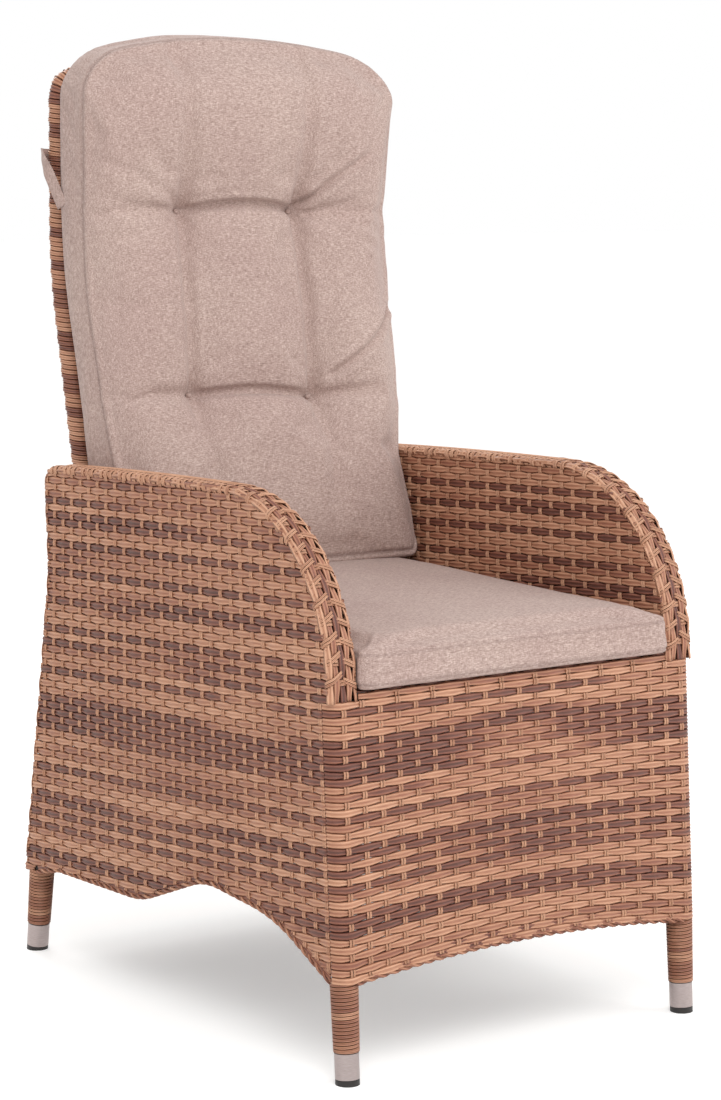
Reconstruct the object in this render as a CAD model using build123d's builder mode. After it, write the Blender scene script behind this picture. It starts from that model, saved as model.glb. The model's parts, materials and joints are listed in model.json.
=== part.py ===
"""Woven reclining armchair with a boxed seat cushion and a tufted back cushion.

Millimetres. +Z up, the chair faces -Y, and its own right-hand side for a viewer in front is +X.
The origin is on the floor, midway between the four feet.
"""
import os
from math import atan, cos, degrees, radians, sin, sqrt, tan

from build123d import *

os.makedirs("parts", exist_ok=True)

# Overall driving dimensions
leg_spacing = 465.0          # across, between leg centres
foot_spacing = 662.0         # front to rear, between foot centres
arm_height = 613.0           # top of the woven arm at its front
arm_thickness = 38.0         # across one woven arm
seat_frame_height = 407.0    # top of the seat's tubes
panel_bottom_height = 112.0  # lower edge of the woven skirt at a front leg
back_top_height = 1068.0     # woven back at its upper corners
back_half_width = 205.0      # woven back, centre to edge

# Tubes and weave
leg_diameter = 25.0
leg_wall = 1.5
rail_diameter = 20.0
rail_wall = 1.5
lower_rail_diameter = 14.0
back_tube_diameter = 20.0
weave_thickness = 4.2
course_pitch = 24.0          # three rows of strands, between the grooves of the side and front panels
course_groove_width = 3.2
course_groove_depth = 1.3
row_fall = 24.0              # a row on a side falls by this much towards the rear
row_fall_run = 632.0         # over this length
seat_gap = 0.3               # between a piece and what it rests on
cut_overrun = 60.0           # how far cutting shapes reach past what they cut

# Front leg and arm hoop, seen from the side
leg_lean_run = 24.0          # a front leg leans back by this much
leg_lean_rise = 400.0        # over this height
arm_bend_radius = 183.0      # centre line of the tube's front bend
arm_top_fall = 9.0           # from the front of the arm to its rear
arm_corner_radius = 8.0      # centre line at the arm's rear corner

# Rear leg, seen from the side
rear_knee_run = 18.0         # from the foot forward to the lower bend
rear_knee_height = 125.0
rear_waist_run = 81.0        # from the foot forward to the waist
rear_waist_height = 478.0
rear_top_run = 76.0          # from the foot forward to the top
rear_knee_radius = 300.0
rear_waist_radius = 200.0

# Skirt's lower edge on the sides, from the front leg to the rear leg
wave_front_rise = 50.0       # from the leg to the end of the front arch's slope
wave_crest_rise = 62.0       # to the crest
wave_belly_rise = 12.0       # to the belly in front of the rear leg
wave_rear_fall = 8.0         # below the front height, at the rear leg
wave_place_shares = {"front": -0.3248, "crest": -0.1133, "belly_front": 0.0906, "belly_rear": 0.3776}
wave_front_y = foot_spacing * wave_place_shares["front"]
wave_crest_y = foot_spacing * wave_place_shares["crest"]
wave_belly_front_y = foot_spacing * wave_place_shares["belly_front"]
wave_belly_rear_y = foot_spacing * wave_place_shares["belly_rear"]
wave_radius_shares = {"front": 0.3776, "crest": 0.1964, "belly_front": 0.2266, "belly_rear": 0.136}
wave_front_radius = foot_spacing * wave_radius_shares["front"]
wave_crest_radius = foot_spacing * wave_radius_shares["crest"]
wave_belly_front_radius = foot_spacing * wave_radius_shares["belly_front"]
wave_belly_rear_radius = foot_spacing * wave_radius_shares["belly_rear"]
front_arch_rise = 15.0       # middle of the front panel's lower edge above its ends
edge_cord_diameter = 7.0
leg_clear_gap = 4.0          # between an edge cord's end and the wrapped leg

# Feet
glide_height = 6.0
glide_diameter = 26.0
glide_stem_length = 18.0
glide_stem_gap = 0.2
sleeve_height = 28.0
sleeve_wall = 0.6
sleeve_gap = 0.1
wrap_thickness_low = 1.5
wrap_thickness_high = 2.8

# Seat
seat_deck_thickness = 6.0
cross_bar_count = 3
cross_bar_spacing = 140.0
front_bar_y = -160.0
rear_rail_y = 198.0
front_panel_drop = 2.0       # front panel's top below the top of the seat's tubes
cushion_side_gap = 0.5
seat_cushion_thickness = 50.0
seat_cushion_crown = 9.0
seat_cushion_draw = 4.0      # how far its sides are drawn in halfway along
seat_cushion_bulge = 2.5     # how far its boxing bulges
seat_cushion_front_y = -325.0
seat_cushion_rear_y = 204.0

# Back, seen from the side: two straight stretches joined by a bend
back_foot_y = 236.0
back_foot_height = 425.0
back_bend_y = 322.0
back_bend_share = 0.63       # of the woven back's rise
back_head_y = 318.0
back_head_rise = 22.0        # above the upper corners
back_bend_radius = 500.0
back_corner_radius = 34.0
head_bend_radius = 30.6      # centre line of the top rail's bends
back_arch_rise = 24.0        # middle of the back's top above its corners
back_bar_shares = (0.21, 0.505, 0.8)  # places of its cross bars

# Back cushion
back_cushion_foot = 474.5    # its underside
back_cushion_over = 43.0     # its top above the woven back's corners
back_cushion_gap = 0.6
back_cushion_half_low = 210.8
back_cushion_half_high = 220.0
back_cushion_depth = 104.0   # at its fullest
back_cushion_bulge = 3.0     # how far its boxing bulges
back_cushion_corner = 50.0
back_cushion_arch = 38.0
back_cushion_draw_in = 5.0   # at the underside's corners
tuft_half_spacing = 86.0
strap_share = 0.793          # of the woven back's rise
strap_width = 22.0
strap_thickness = 1.5

# Hinge between the seat and the back
hinge_y = 237.0
hinge_z = 397.0
hinge_plate_thickness = 5.0
hinge_plate_gap = 0.5
hinge_eye_radius = 13.0
hinge_neck_width = 18.0
hinge_bolt_radius = 4.0
hinge_bush_wall = 2.0
hinge_offset = 200.0         # inner face of the seat's bracket from the middle
running_gap = 0.06
bolt_head_radius = 6.5
bolt_head_thickness = 4.0

# Lockable gas spring
spring_anchor_y = -12.0
spring_anchor_drop = 46.0    # below the hinge
spring_crank = 50.0          # hinge to the spring's pin on the back
spring_crank_angle = 24.0    # degrees behind straight down, back upright
spring_pin_radius = 4.0
spring_pivot_gap = 1.8       # loose eye, stands for the rubber bush's give
spring_eye_radius = 9.5
spring_eye_width = 12.0
cylinder_radius = 11.0
cylinder_wall = 1.8
cylinder_length = 130.0
eye_shank_length = 7.5
cylinder_gland = 12.0
cylinder_end = 6.0           # thickness of its closed end
rod_radius = 4.0
piston_length = 8.0
piston_gap = 0.1
rod_overlap = 70.0           # rod inside the cylinder, back upright
head_width = 16.0
head_height = 18.0
head_length = 34.0
head_lead = 10.0             # head past its pin
lug_plate_thickness = 4.0
trigger_length = 40.0
trigger_thickness = 4.0
trigger_width = 8.0
trigger_pin_radius = 2.0
trigger_knuckle_radius = 4.5

# Release lever on the right-hand side
lever_y = -60.0
lever_drop = 38.0            # shaft below the seat's side rail
lever_shaft_radius = 6.0
lever_shaft_inner = 222.0
lever_hole_gap = 1.5
lever_bracket_thickness = 5.0
lever_bracket_inner = 226.0
lever_eye_radius = 12.0
lever_plate_gap = 1.2
lever_plate_thickness = 3.0
lever_length = 92.0
lever_width = 16.0
lever_tilt = 12.0            # degrees below level, towards the front
grip_length = 56.0
grip_width = 24.0
grip_wall = 2.5
grip_fit = 0.1
grip_edge_radius = 1.5

# Derived places that several pieces share
quarter_middle = radians(45)  # halfway round a rounded corner
leg_radius = leg_diameter / 2
rail_radius = rail_diameter / 2
lower_rail_radius = lower_rail_diameter / 2
back_tube_radius = back_tube_diameter / 2
leg_x = leg_spacing / 2
foot_y = foot_spacing / 2
leg_lean = degrees(atan(leg_lean_run / leg_lean_rise))
back_rise = back_top_height - back_foot_height
back_bend_height = back_foot_height + back_rise * back_bend_share
back_head_height = back_top_height + back_head_rise
back_cushion_top = back_top_height + back_cushion_over
strap_height = back_foot_height + back_rise * strap_share
weave_inner = leg_radius + seat_gap
weave_outer = weave_inner + weave_thickness
outer_x = leg_x + weave_outer
arm_inner_x = outer_x - arm_thickness
arm_tube_height = arm_height - weave_outer
bend_centre_z = arm_tube_height - arm_bend_radius
bend_start_z = bend_centre_z + arm_bend_radius * sin(radians(leg_lean))
bend_start_y = -foot_y + bend_start_z * tan(radians(leg_lean))
bend_centre_y = bend_start_y + arm_bend_radius * cos(radians(leg_lean))
rear_top_y = foot_y - rear_top_run
arm_rear_height = arm_tube_height - arm_top_fall
corner_y = rear_top_y - arm_corner_radius
corner_z = arm_rear_height - arm_corner_radius
rail_z = seat_frame_height - rail_radius
front_panel_top = seat_frame_height - front_panel_drop
deck_bottom = seat_frame_height + seat_gap
deck_top = deck_bottom + seat_deck_thickness
back_depth = back_tube_radius + seat_gap + weave_thickness
sleeve_radius = leg_radius + sleeve_gap + sleeve_wall
sleeve_top = glide_height + sleeve_height
wrap_radius = leg_radius + wrap_thickness_high


def front_leg_y(height):
    """Centre line of a front leg at a height."""
    return -foot_y + height * tan(radians(leg_lean))


def rear_leg_y(height):
    """Centre line of a rear leg at a height, before its bends are rounded."""
    knee_y = foot_y - rear_knee_run
    waist_y = foot_y - rear_waist_run
    if height < rear_knee_height:
        return foot_y - rear_knee_run * height / rear_knee_height
    share = (height - rear_knee_height) / (rear_waist_height - rear_knee_height)
    return knee_y + (waist_y - knee_y) * share


back_low_lean = atan((back_bend_y - back_foot_y) / (back_bend_height - back_foot_height))
back_high_lean = atan((back_head_y - back_bend_y) / (back_head_height - back_bend_height))
back_bend_reach = back_bend_radius * tan((back_low_lean - back_high_lean) / 2)
back_arc_foot = back_bend_height - back_bend_reach * cos(back_low_lean)
back_arc_head = back_bend_height + back_bend_reach * cos(back_high_lean)
back_arc_y = back_bend_y - back_bend_reach * sin(back_low_lean) - back_bend_radius * cos(back_low_lean)
back_arc_z = back_arc_foot + back_bend_radius * sin(back_low_lean)


def back_y(height):
    """Middle of the woven back at a height: two straight stretches with an arc between them."""
    if height < back_arc_foot:
        return back_foot_y + (height - back_foot_height) * tan(back_low_lean)
    if height > back_arc_head:
        return back_head_y + (height - back_head_height) * tan(back_high_lean)
    return back_arc_y + sqrt(back_bend_radius ** 2 - (height - back_arc_z) ** 2)


def save(piece, name):
    """Label a finished sub-part and write it."""
    piece.part.label = name
    export_step(piece.part, f"parts/{name}.step")


def save_tube(name, paths, radius, wall):
    """A round tube along each path, all in one sub-part."""
    with BuildPart() as piece:
        for path in paths:
            with BuildSketch(Plane(origin=path @ 0, z_dir=path % 0)):
                Circle(radius)
                Circle(radius - wall, mode=Mode.SUBTRACT)
            sweep(path=path)
    save(piece, name)


def side_name(side):
    """Left is the side seen at the left of a front view."""
    return "left" if side < 0 else "right"


# Side view of one arm and skirt: closed outline at a distance outside the tubes' centre line
def add_side_outline(out, drop):
    """Lines of the outline: out is the distance from the centre line, drop lowers the skirt's edge."""
    slant = out / cos(radians(leg_lean))
    foot = panel_bottom_height - drop
    rear_foot = foot - wave_rear_fall
    arc_out = arm_bend_radius + out
    front_foot = (front_leg_y(foot) - slant, foot)
    bend_start = (bend_centre_y - arc_out * cos(radians(leg_lean)),
                  bend_centre_z + arc_out * sin(radians(leg_lean)))
    bend_middle = (bend_centre_y - arc_out * sin(quarter_middle),
                   bend_centre_z + arc_out * cos(quarter_middle))
    bend_end = (bend_centre_y, bend_centre_z + arc_out)
    corner_start = (corner_y, arm_rear_height + out)
    corner_out = arm_corner_radius + out
    corner_middle = (corner_y + corner_out * sin(quarter_middle),
                     corner_z + corner_out * cos(quarter_middle))
    corner_end = (rear_top_y + out, corner_z)
    rear_end = (rear_leg_y(rear_foot) + out, rear_foot)
    Line(front_foot, bend_start)
    ThreePointArc(bend_start, bend_middle, bend_end)
    top_middle = ((bend_centre_y + corner_y) / 2, arm_tube_height + out - arm_top_fall / 4)
    ThreePointArc(bend_end, top_middle, corner_start)
    ThreePointArc(corner_start, corner_middle, corner_end)
    FilletPolyline(
        corner_end,
        (foot_y - rear_waist_run + out, rear_waist_height),
        (foot_y - rear_knee_run + out, rear_knee_height),
        rear_end,
        radius=(rear_waist_radius, rear_knee_radius))
    FilletPolyline(
        rear_end,
        *wave_points(-drop),
        front_foot,
        radius=(wave_belly_rear_radius, wave_belly_front_radius, wave_crest_radius, wave_front_radius))


def wave_points(lift):
    """Corners of the skirt's wavy lower edge, rear to front, raised by lift."""
    base = panel_bottom_height + lift
    return [
        (wave_belly_rear_y, base + wave_belly_rise - wave_rear_fall / 2),
        (wave_belly_front_y, base + wave_belly_rise),
        (wave_crest_y, base + wave_crest_rise),
        (wave_front_y, base + wave_front_rise)]


# Front legs with the arm hoops: one bent tube each, from the foot over the arm
for side in (-1, 1):
    with BuildLine(Plane.YZ.offset(side * leg_x)) as hoop_line:
        leg_end_z = glide_height + seat_gap
        Line((front_leg_y(leg_end_z), leg_end_z), (bend_start_y, bend_start_z))
        ThreePointArc(
            (bend_start_y, bend_start_z),
            (bend_centre_y - arm_bend_radius * sin(quarter_middle),
             bend_centre_z + arm_bend_radius * cos(quarter_middle)),
            (bend_centre_y, arm_tube_height))
        ThreePointArc(
            (bend_centre_y, arm_tube_height),
            ((bend_centre_y + corner_y) / 2, arm_tube_height - arm_top_fall / 4),
            (corner_y, arm_rear_height))
    save_tube(f"front_leg_{side_name(side)}", [hoop_line.wire()], leg_radius, leg_wall)

# Rear legs: up behind the seat to the underside of the arm tube
for side in (-1, 1):
    foot_lean = rear_knee_run / rear_knee_height
    leg_end_z = glide_height + seat_gap
    with BuildLine(Plane.YZ.offset(side * leg_x)) as rear_line:
        FilletPolyline(
            (foot_y - leg_end_z * foot_lean, leg_end_z),
            (foot_y - rear_knee_run, rear_knee_height),
            (foot_y - rear_waist_run, rear_waist_height),
            (rear_top_y - arm_corner_radius, arm_rear_height - leg_radius - arm_top_fall / 2),
            radius=(rear_knee_radius, rear_waist_radius))
    save_tube(f"rear_leg_{side_name(side)}", [rear_line.wire()], leg_radius, leg_wall)

# Feet: plastic glide, metal sleeve and the tight wrap above it, square to their leg
for row in ("front", "rear"):
    lean = leg_lean if row == "front" else -degrees(atan(rear_knee_run / rear_knee_height))
    place_y = -foot_y if row == "front" else foot_y
    for side in (-1, 1):
        corner = f"{row}_{side_name(side)}"
        foot_plane = Plane(origin=(side * leg_x, place_y, 0), x_dir=(1, 0, 0),
                           z_dir=(0, sin(radians(lean)), cos(radians(lean))))
        with BuildPart() as glide:
            with BuildSketch(foot_plane.offset(-glide_height)):
                Circle(glide_diameter / 2)
            extrude(amount=glide_height * 2 - seat_gap)
            with BuildSketch(foot_plane.offset(glide_height - seat_gap)):
                Circle(leg_radius - leg_wall - glide_stem_gap)
            extrude(amount=glide_stem_length)
            split(bisect_by=Plane.XY, keep=Keep.TOP)
        save(glide, f"foot_glide_{corner}")
        with BuildPart() as sleeve:
            with BuildSketch(foot_plane.offset(glide_height + seat_gap)):
                Circle(sleeve_radius)
                Circle(leg_radius + sleeve_gap, mode=Mode.SUBTRACT)
            extrude(amount=sleeve_height - seat_gap)
        save(sleeve, f"foot_sleeve_{corner}")
        skirt_foot = panel_bottom_height if row == "front" else panel_bottom_height - wave_rear_fall
        wrap_top = (skirt_foot - seat_gap - wrap_radius * abs(sin(radians(lean)))) / cos(radians(lean))
        with BuildPart() as wrap:
            with BuildSketch(foot_plane.offset(sleeve_top + seat_gap)):
                Circle(leg_radius + wrap_thickness_low)
            with BuildSketch(foot_plane.offset(wrap_top)):
                Circle(wrap_radius)
            loft()
            with BuildSketch(foot_plane):
                Circle(leg_radius + sleeve_gap)
            extrude(amount=wrap_top + cut_overrun, mode=Mode.SUBTRACT)
        save(wrap, f"leg_wrap_{corner}")

# Seat frame tubes
front_rail_y = front_leg_y(rail_z)
rear_post_y = rear_leg_y(rail_z)
rear_post_slope = (rear_waist_run - rear_knee_run) / (rear_waist_height - rear_knee_height)
with BuildLine() as front_rail_line:
    Line((-leg_x + weave_inner, front_rail_y, rail_z), (leg_x - weave_inner, front_rail_y, rail_z))
save_tube("seat_front_rail", [front_rail_line.wire()], rail_radius, rail_wall)

side_rail_lines = []
for side in (-1, 1):
    with BuildLine() as side_rail_line:
        Line((side * leg_x, front_rail_y + weave_inner + rail_radius * tan(radians(leg_lean)), rail_z),
             (side * leg_x, rear_post_y - weave_inner - rail_radius * rear_post_slope, rail_z))
    side_rail_lines.append(side_rail_line.wire())
save_tube("seat_side_rails", side_rail_lines, rail_radius, rail_wall)

cross_half = leg_x - rail_radius - seat_gap
cross_lines = []
for index in range(cross_bar_count):
    bar_y = front_bar_y + index * cross_bar_spacing
    with BuildLine() as cross_line:
        Line((-cross_half, bar_y, rail_z), (cross_half, bar_y, rail_z))
    cross_lines.append(cross_line.wire())
save_tube("seat_cross_bars", cross_lines, rail_radius, rail_wall)

with BuildLine() as rear_rail_line:
    Line((-cross_half, rear_rail_y, rail_z), (cross_half, rear_rail_y, rail_z))
save_tube("seat_rear_rail", [rear_rail_line.wire()], rail_radius, rail_wall)

# Lower rails that the skirt's weave is turned round
lower_lift = lower_rail_radius + weave_thickness
front_low_z = panel_bottom_height + lower_lift
front_low_y = front_leg_y(front_low_z + front_arch_rise) - weave_inner + seat_gap + lower_rail_radius
front_low_half = leg_x - weave_inner - seat_gap * 2
lower_rail_clear = weave_inner + lower_rail_radius / 2
with BuildLine(Plane.XZ.offset(-front_low_y)) as front_low_line:
    ThreePointArc((-front_low_half, front_low_z), (0, front_low_z + front_arch_rise),
                  (front_low_half, front_low_z))
save_tube("front_lower_rail", [front_low_line.wire()], lower_rail_radius, rail_wall)

side_low_lines = []
for side in (-1, 1):
    low_start = front_leg_y(front_low_z) + lower_rail_clear
    low_end = rear_leg_y(front_low_z) - lower_rail_clear
    with BuildLine(Plane.YZ.offset(side * (leg_x + leg_radius - lower_rail_radius))) as side_low_line:
        FilletPolyline(
            (low_end, front_low_z - wave_rear_fall / 2),
            *wave_points(lower_lift),
            (low_start, front_low_z + wave_rear_fall),
            radius=(wave_belly_rear_radius / 2, wave_belly_front_radius,
                    wave_crest_radius, wave_front_radius))
    side_low_lines.append(side_low_line.wire())
save_tube("side_lower_rails", side_low_lines, lower_rail_radius, rail_wall)

rear_panel_top = seat_frame_height - rail_diameter
rear_rail_lines = []
for bar_z in (panel_bottom_height - wave_rear_fall + lower_lift, rear_panel_top - lower_lift):
    bar_y = rear_leg_y(bar_z) + weave_inner - seat_gap - lower_rail_radius
    with BuildLine() as rear_bar_line:
        Line((-front_low_half, bar_y, bar_z), (front_low_half, bar_y, bar_z))
    rear_rail_lines.append(rear_bar_line.wire())
save_tube("rear_panel_rails", rear_rail_lines, lower_rail_radius, rail_wall)


def add_course_grooves(face, outward):
    """Sections of the grooves between courses, up a face at a distance from the sketch's origin."""
    count = int((arm_height - panel_bottom_height) / course_pitch)
    for index in range(count):
        middle = panel_bottom_height + course_pitch * (index + 1)
        Polygon((face - outward * course_groove_depth, middle),
                (face + outward * course_groove_depth, middle - course_groove_width),
                (face + outward * course_groove_depth, middle + course_groove_width), align=None)


# Front panel: wraps round both front legs, arched along its lower edge
front_plane = Plane(origin=(0, -foot_y, 0), x_dir=(1, 0, 0),
                    z_dir=(0, sin(radians(leg_lean)), cos(radians(leg_lean))))
corner_reach = sin(quarter_middle)
with BuildPart() as front_panel:
    with BuildSketch(front_plane):
        with BuildLine():
            for reach in (weave_inner, weave_outer):
                for side in (-1, 1):
                    ThreePointArc((side * (leg_x + reach), 0),
                                  (side * (leg_x + reach * corner_reach), -reach * corner_reach),
                                  (side * leg_x, -reach))
                Line((-leg_x, -reach), (leg_x, -reach))
            for side in (-1, 1):
                Line((side * (leg_x + weave_inner), 0), (side * (leg_x + weave_outer), 0))
        make_face()
    extrude(amount=seat_frame_height + cut_overrun)
    with BuildSketch(Plane.XZ):
        with BuildLine():
            ThreePointArc((-leg_x, panel_bottom_height), (0, panel_bottom_height + front_arch_rise),
                          (leg_x, panel_bottom_height))
            Polyline((leg_x, panel_bottom_height), (outer_x + cut_overrun, panel_bottom_height),
                     (outer_x + cut_overrun, front_panel_top), (-outer_x - cut_overrun, front_panel_top),
                     (-outer_x - cut_overrun, panel_bottom_height), (-leg_x, panel_bottom_height))
        make_face()
    extrude(amount=foot_spacing, both=True, mode=Mode.INTERSECT)
    with BuildSketch(Plane(origin=(leg_x, -foot_y, 0), z_dir=(-1, 0, 0),
                           x_dir=(0, -cos(radians(leg_lean)), sin(radians(leg_lean))))):
        add_course_grooves(weave_outer, 1)
    extrude(amount=leg_spacing, mode=Mode.SUBTRACT)
save(front_panel, "front_panel")


def front_corner_points():
    """Outline, seen from the side, of what the front panel covers."""
    low = panel_bottom_height - cut_overrun
    high = front_panel_top + seat_gap
    return [(front_leg_y(low) + seat_gap, low), (front_leg_y(high) + seat_gap, high),
            (-foot_spacing, high), (-foot_spacing, low)]


# Outer skins of the sides, with the shaft's hole through the right-hand one
skin_out = weave_inner - seat_gap
lever_z = rail_z - lever_drop
for side in (-1, 1):
    skin_plane = Plane.YZ.offset(-outer_x if side < 0 else leg_x + weave_inner)
    with BuildPart() as skin:
        with BuildSketch(skin_plane):
            with BuildLine():
                add_side_outline(skin_out, 0)
            make_face()
            with BuildLine():
                Polyline(*front_corner_points(), close=True)
            make_face(mode=Mode.SUBTRACT)
            if side > 0:
                with Locations((lever_y, lever_z)):
                    Circle(lever_shaft_radius + lever_hole_gap, mode=Mode.SUBTRACT)
        extrude(amount=weave_thickness)
        with BuildSketch(Plane(origin=(0, -foot_y, 0), x_dir=(1, 0, 0), z_dir=(0, -row_fall_run, row_fall))):
            add_course_grooves(side * outer_x, side)
        extrude(amount=foot_spacing, both=True, mode=Mode.SUBTRACT)
    save(skin, f"side_panel_{side_name(side)}")

# Inner skins of the arms, from the seat up
inner_foot = deck_bottom
for side in (-1, 1):
    inner_plane = Plane.YZ.offset(arm_inner_x if side > 0 else -arm_inner_x - weave_thickness)
    with BuildPart() as inner_skin:
        with BuildSketch(inner_plane):
            with BuildLine():
                add_side_outline(skin_out, 0)
            make_face()
            with Locations((0, inner_foot - foot_spacing / 2)):
                Rectangle(foot_spacing * 2, foot_spacing, mode=Mode.SUBTRACT)
        extrude(amount=weave_thickness)
    save(inner_skin, f"arm_inner_panel_{side_name(side)}")

# Border bands: the arm's whole thickness, up its front, over its top and down the rear leg
for side in (-1, 1):
    band_plane = Plane.YZ.offset(arm_inner_x if side > 0 else -outer_x)
    with BuildPart() as band:
        with BuildSketch(band_plane):
            with BuildLine():
                add_side_outline(weave_outer, 0)
            make_face()
            with BuildLine():
                add_side_outline(weave_inner, cut_overrun)
            make_face(mode=Mode.SUBTRACT)
            with Locations((-foot_spacing / 2, front_panel_top + seat_gap - foot_spacing / 2)):
                Rectangle(foot_spacing, foot_spacing, mode=Mode.SUBTRACT)
        extrude(amount=arm_thickness)
    save(band, f"arm_border_{side_name(side)}")

# Rear panel between the bands, bent like the rear legs
rear_panel_half = arm_inner_x - seat_gap
rear_panel_foot = panel_bottom_height - wave_rear_fall
with BuildPart() as rear_panel:
    with BuildSketch(Plane.YZ.offset(-rear_panel_half)):
        with BuildLine():
            Polyline(
                (rear_leg_y(rear_panel_foot) + weave_inner, rear_panel_foot),
                (rear_leg_y(rear_knee_height) + weave_inner, rear_knee_height),
                (rear_leg_y(rear_panel_top) + weave_inner, rear_panel_top),
                (rear_leg_y(rear_panel_top) + weave_outer, rear_panel_top),
                (rear_leg_y(rear_knee_height) + weave_outer, rear_knee_height),
                (rear_leg_y(rear_panel_foot) + weave_outer, rear_panel_foot),
                close=True)
        make_face()
    extrude(amount=rear_panel_half * 2)
save(rear_panel, "rear_panel")

# Twisted cord along the skirt's lower edges
cord_radius = edge_cord_diameter / 2
cord_lift = -cord_radius - seat_gap
cord_lines = []
for side in (-1, 1):
    cord_front = front_leg_y(panel_bottom_height) + wrap_radius + leg_clear_gap
    cord_rear = rear_leg_y(rear_panel_foot) - wrap_radius - leg_clear_gap
    with BuildLine(Plane.YZ.offset(side * (outer_x - cord_radius))) as cord_line:
        FilletPolyline(
            (cord_rear, rear_panel_foot + wave_rear_fall / 2 + cord_lift),
            *wave_points(cord_lift),
            (cord_front, panel_bottom_height + cord_lift + wave_rear_fall),
            radius=(wave_belly_rear_radius / 3, wave_belly_front_radius,
                    wave_crest_radius, wave_front_radius))
    cord_lines.append(cord_line.wire())
cord_half = leg_x - wrap_radius - leg_clear_gap
front_cord_y = front_leg_y(panel_bottom_height) - weave_outer + cord_radius
with BuildLine(Plane.XZ.offset(-front_cord_y)) as front_cord_line:
    front_cord_z = panel_bottom_height + cord_lift
    ThreePointArc((-cord_half, front_cord_z), (0, front_cord_z + front_arch_rise), (cord_half, front_cord_z))
cord_lines.append(front_cord_line.wire())
rear_cord_y = rear_leg_y(rear_panel_foot) + weave_outer - cord_radius
rear_cord_z = rear_panel_foot + cord_lift
with BuildLine() as rear_cord_line:
    Line((-cord_half, rear_cord_y, rear_cord_z), (cord_half, rear_cord_y, rear_cord_z))
cord_lines.append(rear_cord_line.wire())
with BuildPart() as edge_cords:
    for cord_path in cord_lines:
        with BuildSketch(Plane(origin=cord_path @ 0, z_dir=cord_path % 0)):
            Circle(cord_radius)
        sweep(path=cord_path)
save(edge_cords, "bottom_edge_cords")

# Woven seat deck on the seat's tubes
deck_half = arm_inner_x - seat_gap
deck_front = front_leg_y(seat_frame_height) - weave_outer
deck_rear = rear_rail_y + rail_radius
with BuildPart() as deck:
    with BuildSketch(Plane.XY.offset(deck_bottom)):
        with Locations((0, (deck_front + deck_rear) / 2)):
            Rectangle(deck_half * 2, deck_rear - deck_front)
    extrude(amount=seat_deck_thickness)
    fillet(deck.edges().filter_by(Axis.X).group_by(Axis.Z)[-1].sort_by(Axis.Y)[0], seat_deck_thickness / 2)
save(deck, "seat_deck")

# Seat cushion: boxed, crowned, its sides drawn in halfway along
cushion_half = arm_inner_x - cushion_side_gap
cushion_foot = deck_top + seat_gap
cushion_length = seat_cushion_rear_y - seat_cushion_front_y
seat_section_shares = (0.0, 0.12, 0.5, 0.88, 1.0)
seat_crown_shares = (0.25, 0.7, 1.0, 0.7, 0.25)
seat_draw_shares = (0.6, 0.15, 1.0, 0.15, 0.6)
with BuildPart() as seat_cushion:
    for place, crown, draw in zip(seat_section_shares, seat_crown_shares, seat_draw_shares):
        half = cushion_half - seat_cushion_bulge - seat_cushion_draw * draw
        edge = cushion_foot + seat_cushion_thickness - seat_cushion_crown
        middle = cushion_foot + (edge - cushion_foot) / 2
        top = edge + seat_cushion_crown * crown
        with BuildSketch(Plane.XZ.offset(-(seat_cushion_front_y + cushion_length * place))):
            with BuildLine():
                Line((-half, cushion_foot), (half, cushion_foot))
                ThreePointArc((half, cushion_foot), (half + seat_cushion_bulge, middle), (half, edge))
                ThreePointArc((half, edge), (0, top), (-half, edge))
                ThreePointArc((-half, edge), (-half - seat_cushion_bulge, middle), (-half, cushion_foot))
            make_face()
    loft()
save(seat_cushion, "seat_cushion")

# Reclining back: frame tubes
back_tube_x = back_half_width - seat_gap - weave_thickness - back_tube_radius
with BuildLine(Plane.YZ) as back_side_line:
    FilletPolyline((back_foot_y, back_foot_height), (back_bend_y, back_bend_height),
                   (back_y(back_top_height - back_depth - back_corner_radius - seat_gap),
                    back_top_height - back_depth - back_corner_radius - seat_gap),
                   radius=back_bend_radius)
side_tube_path = back_side_line.wire()
for side in (-1, 1):
    save_tube(f"back_side_tube_{side_name(side)}",
              [side_tube_path.moved(Location((side * back_tube_x, 0, 0)))], back_tube_radius, rail_wall)

head_foot_z = back_top_height - back_depth - back_corner_radius
head_corner_z = back_top_height - back_depth
with BuildLine(Plane.XZ.offset(-back_y(head_corner_z))) as back_head_line:
    FilletPolyline((-back_tube_x, head_foot_z), (-back_tube_x, head_corner_z),
                   (0, head_corner_z + back_arch_rise),
                   (back_tube_x, head_corner_z), (back_tube_x, head_foot_z),
                   radius=(head_bend_radius, back_bend_radius, head_bend_radius))
save_tube("back_top_rail", [back_head_line.wire()], back_tube_radius, rail_wall)

bar_half = back_tube_x - back_tube_radius - seat_gap
back_bar_lines = []
for bar_share in back_bar_shares:
    bar_z = back_foot_height + back_rise * bar_share
    with BuildLine() as back_bar_line:
        Line((-bar_half, back_y(bar_z), bar_z), (bar_half, back_y(bar_z), bar_z))
    back_bar_lines.append(back_bar_line.wire())
save_tube("back_cross_bars", back_bar_lines, lower_rail_radius, rail_wall)

back_low_z = back_foot_height + back_tube_radius
with BuildLine() as back_low_line:
    Line((-bar_half, back_y(back_low_z), back_low_z), (bar_half, back_y(back_low_z), back_low_z))
save_tube("back_bottom_rail", [back_low_line.wire()], back_tube_radius, rail_wall)


def add_back_front_outline(half, top_inset):
    """Front view of the woven back: straight sides, rounded upper corners, arched top."""
    foot = back_foot_height
    head = back_top_height - top_inset
    FilletPolyline((-half, foot), (-half, head), (0, head + back_arch_rise), (half, head), (half, foot),
                   radius=(back_corner_radius, back_bend_radius, back_corner_radius))
    Line((half, foot), (-half, foot))


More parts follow.
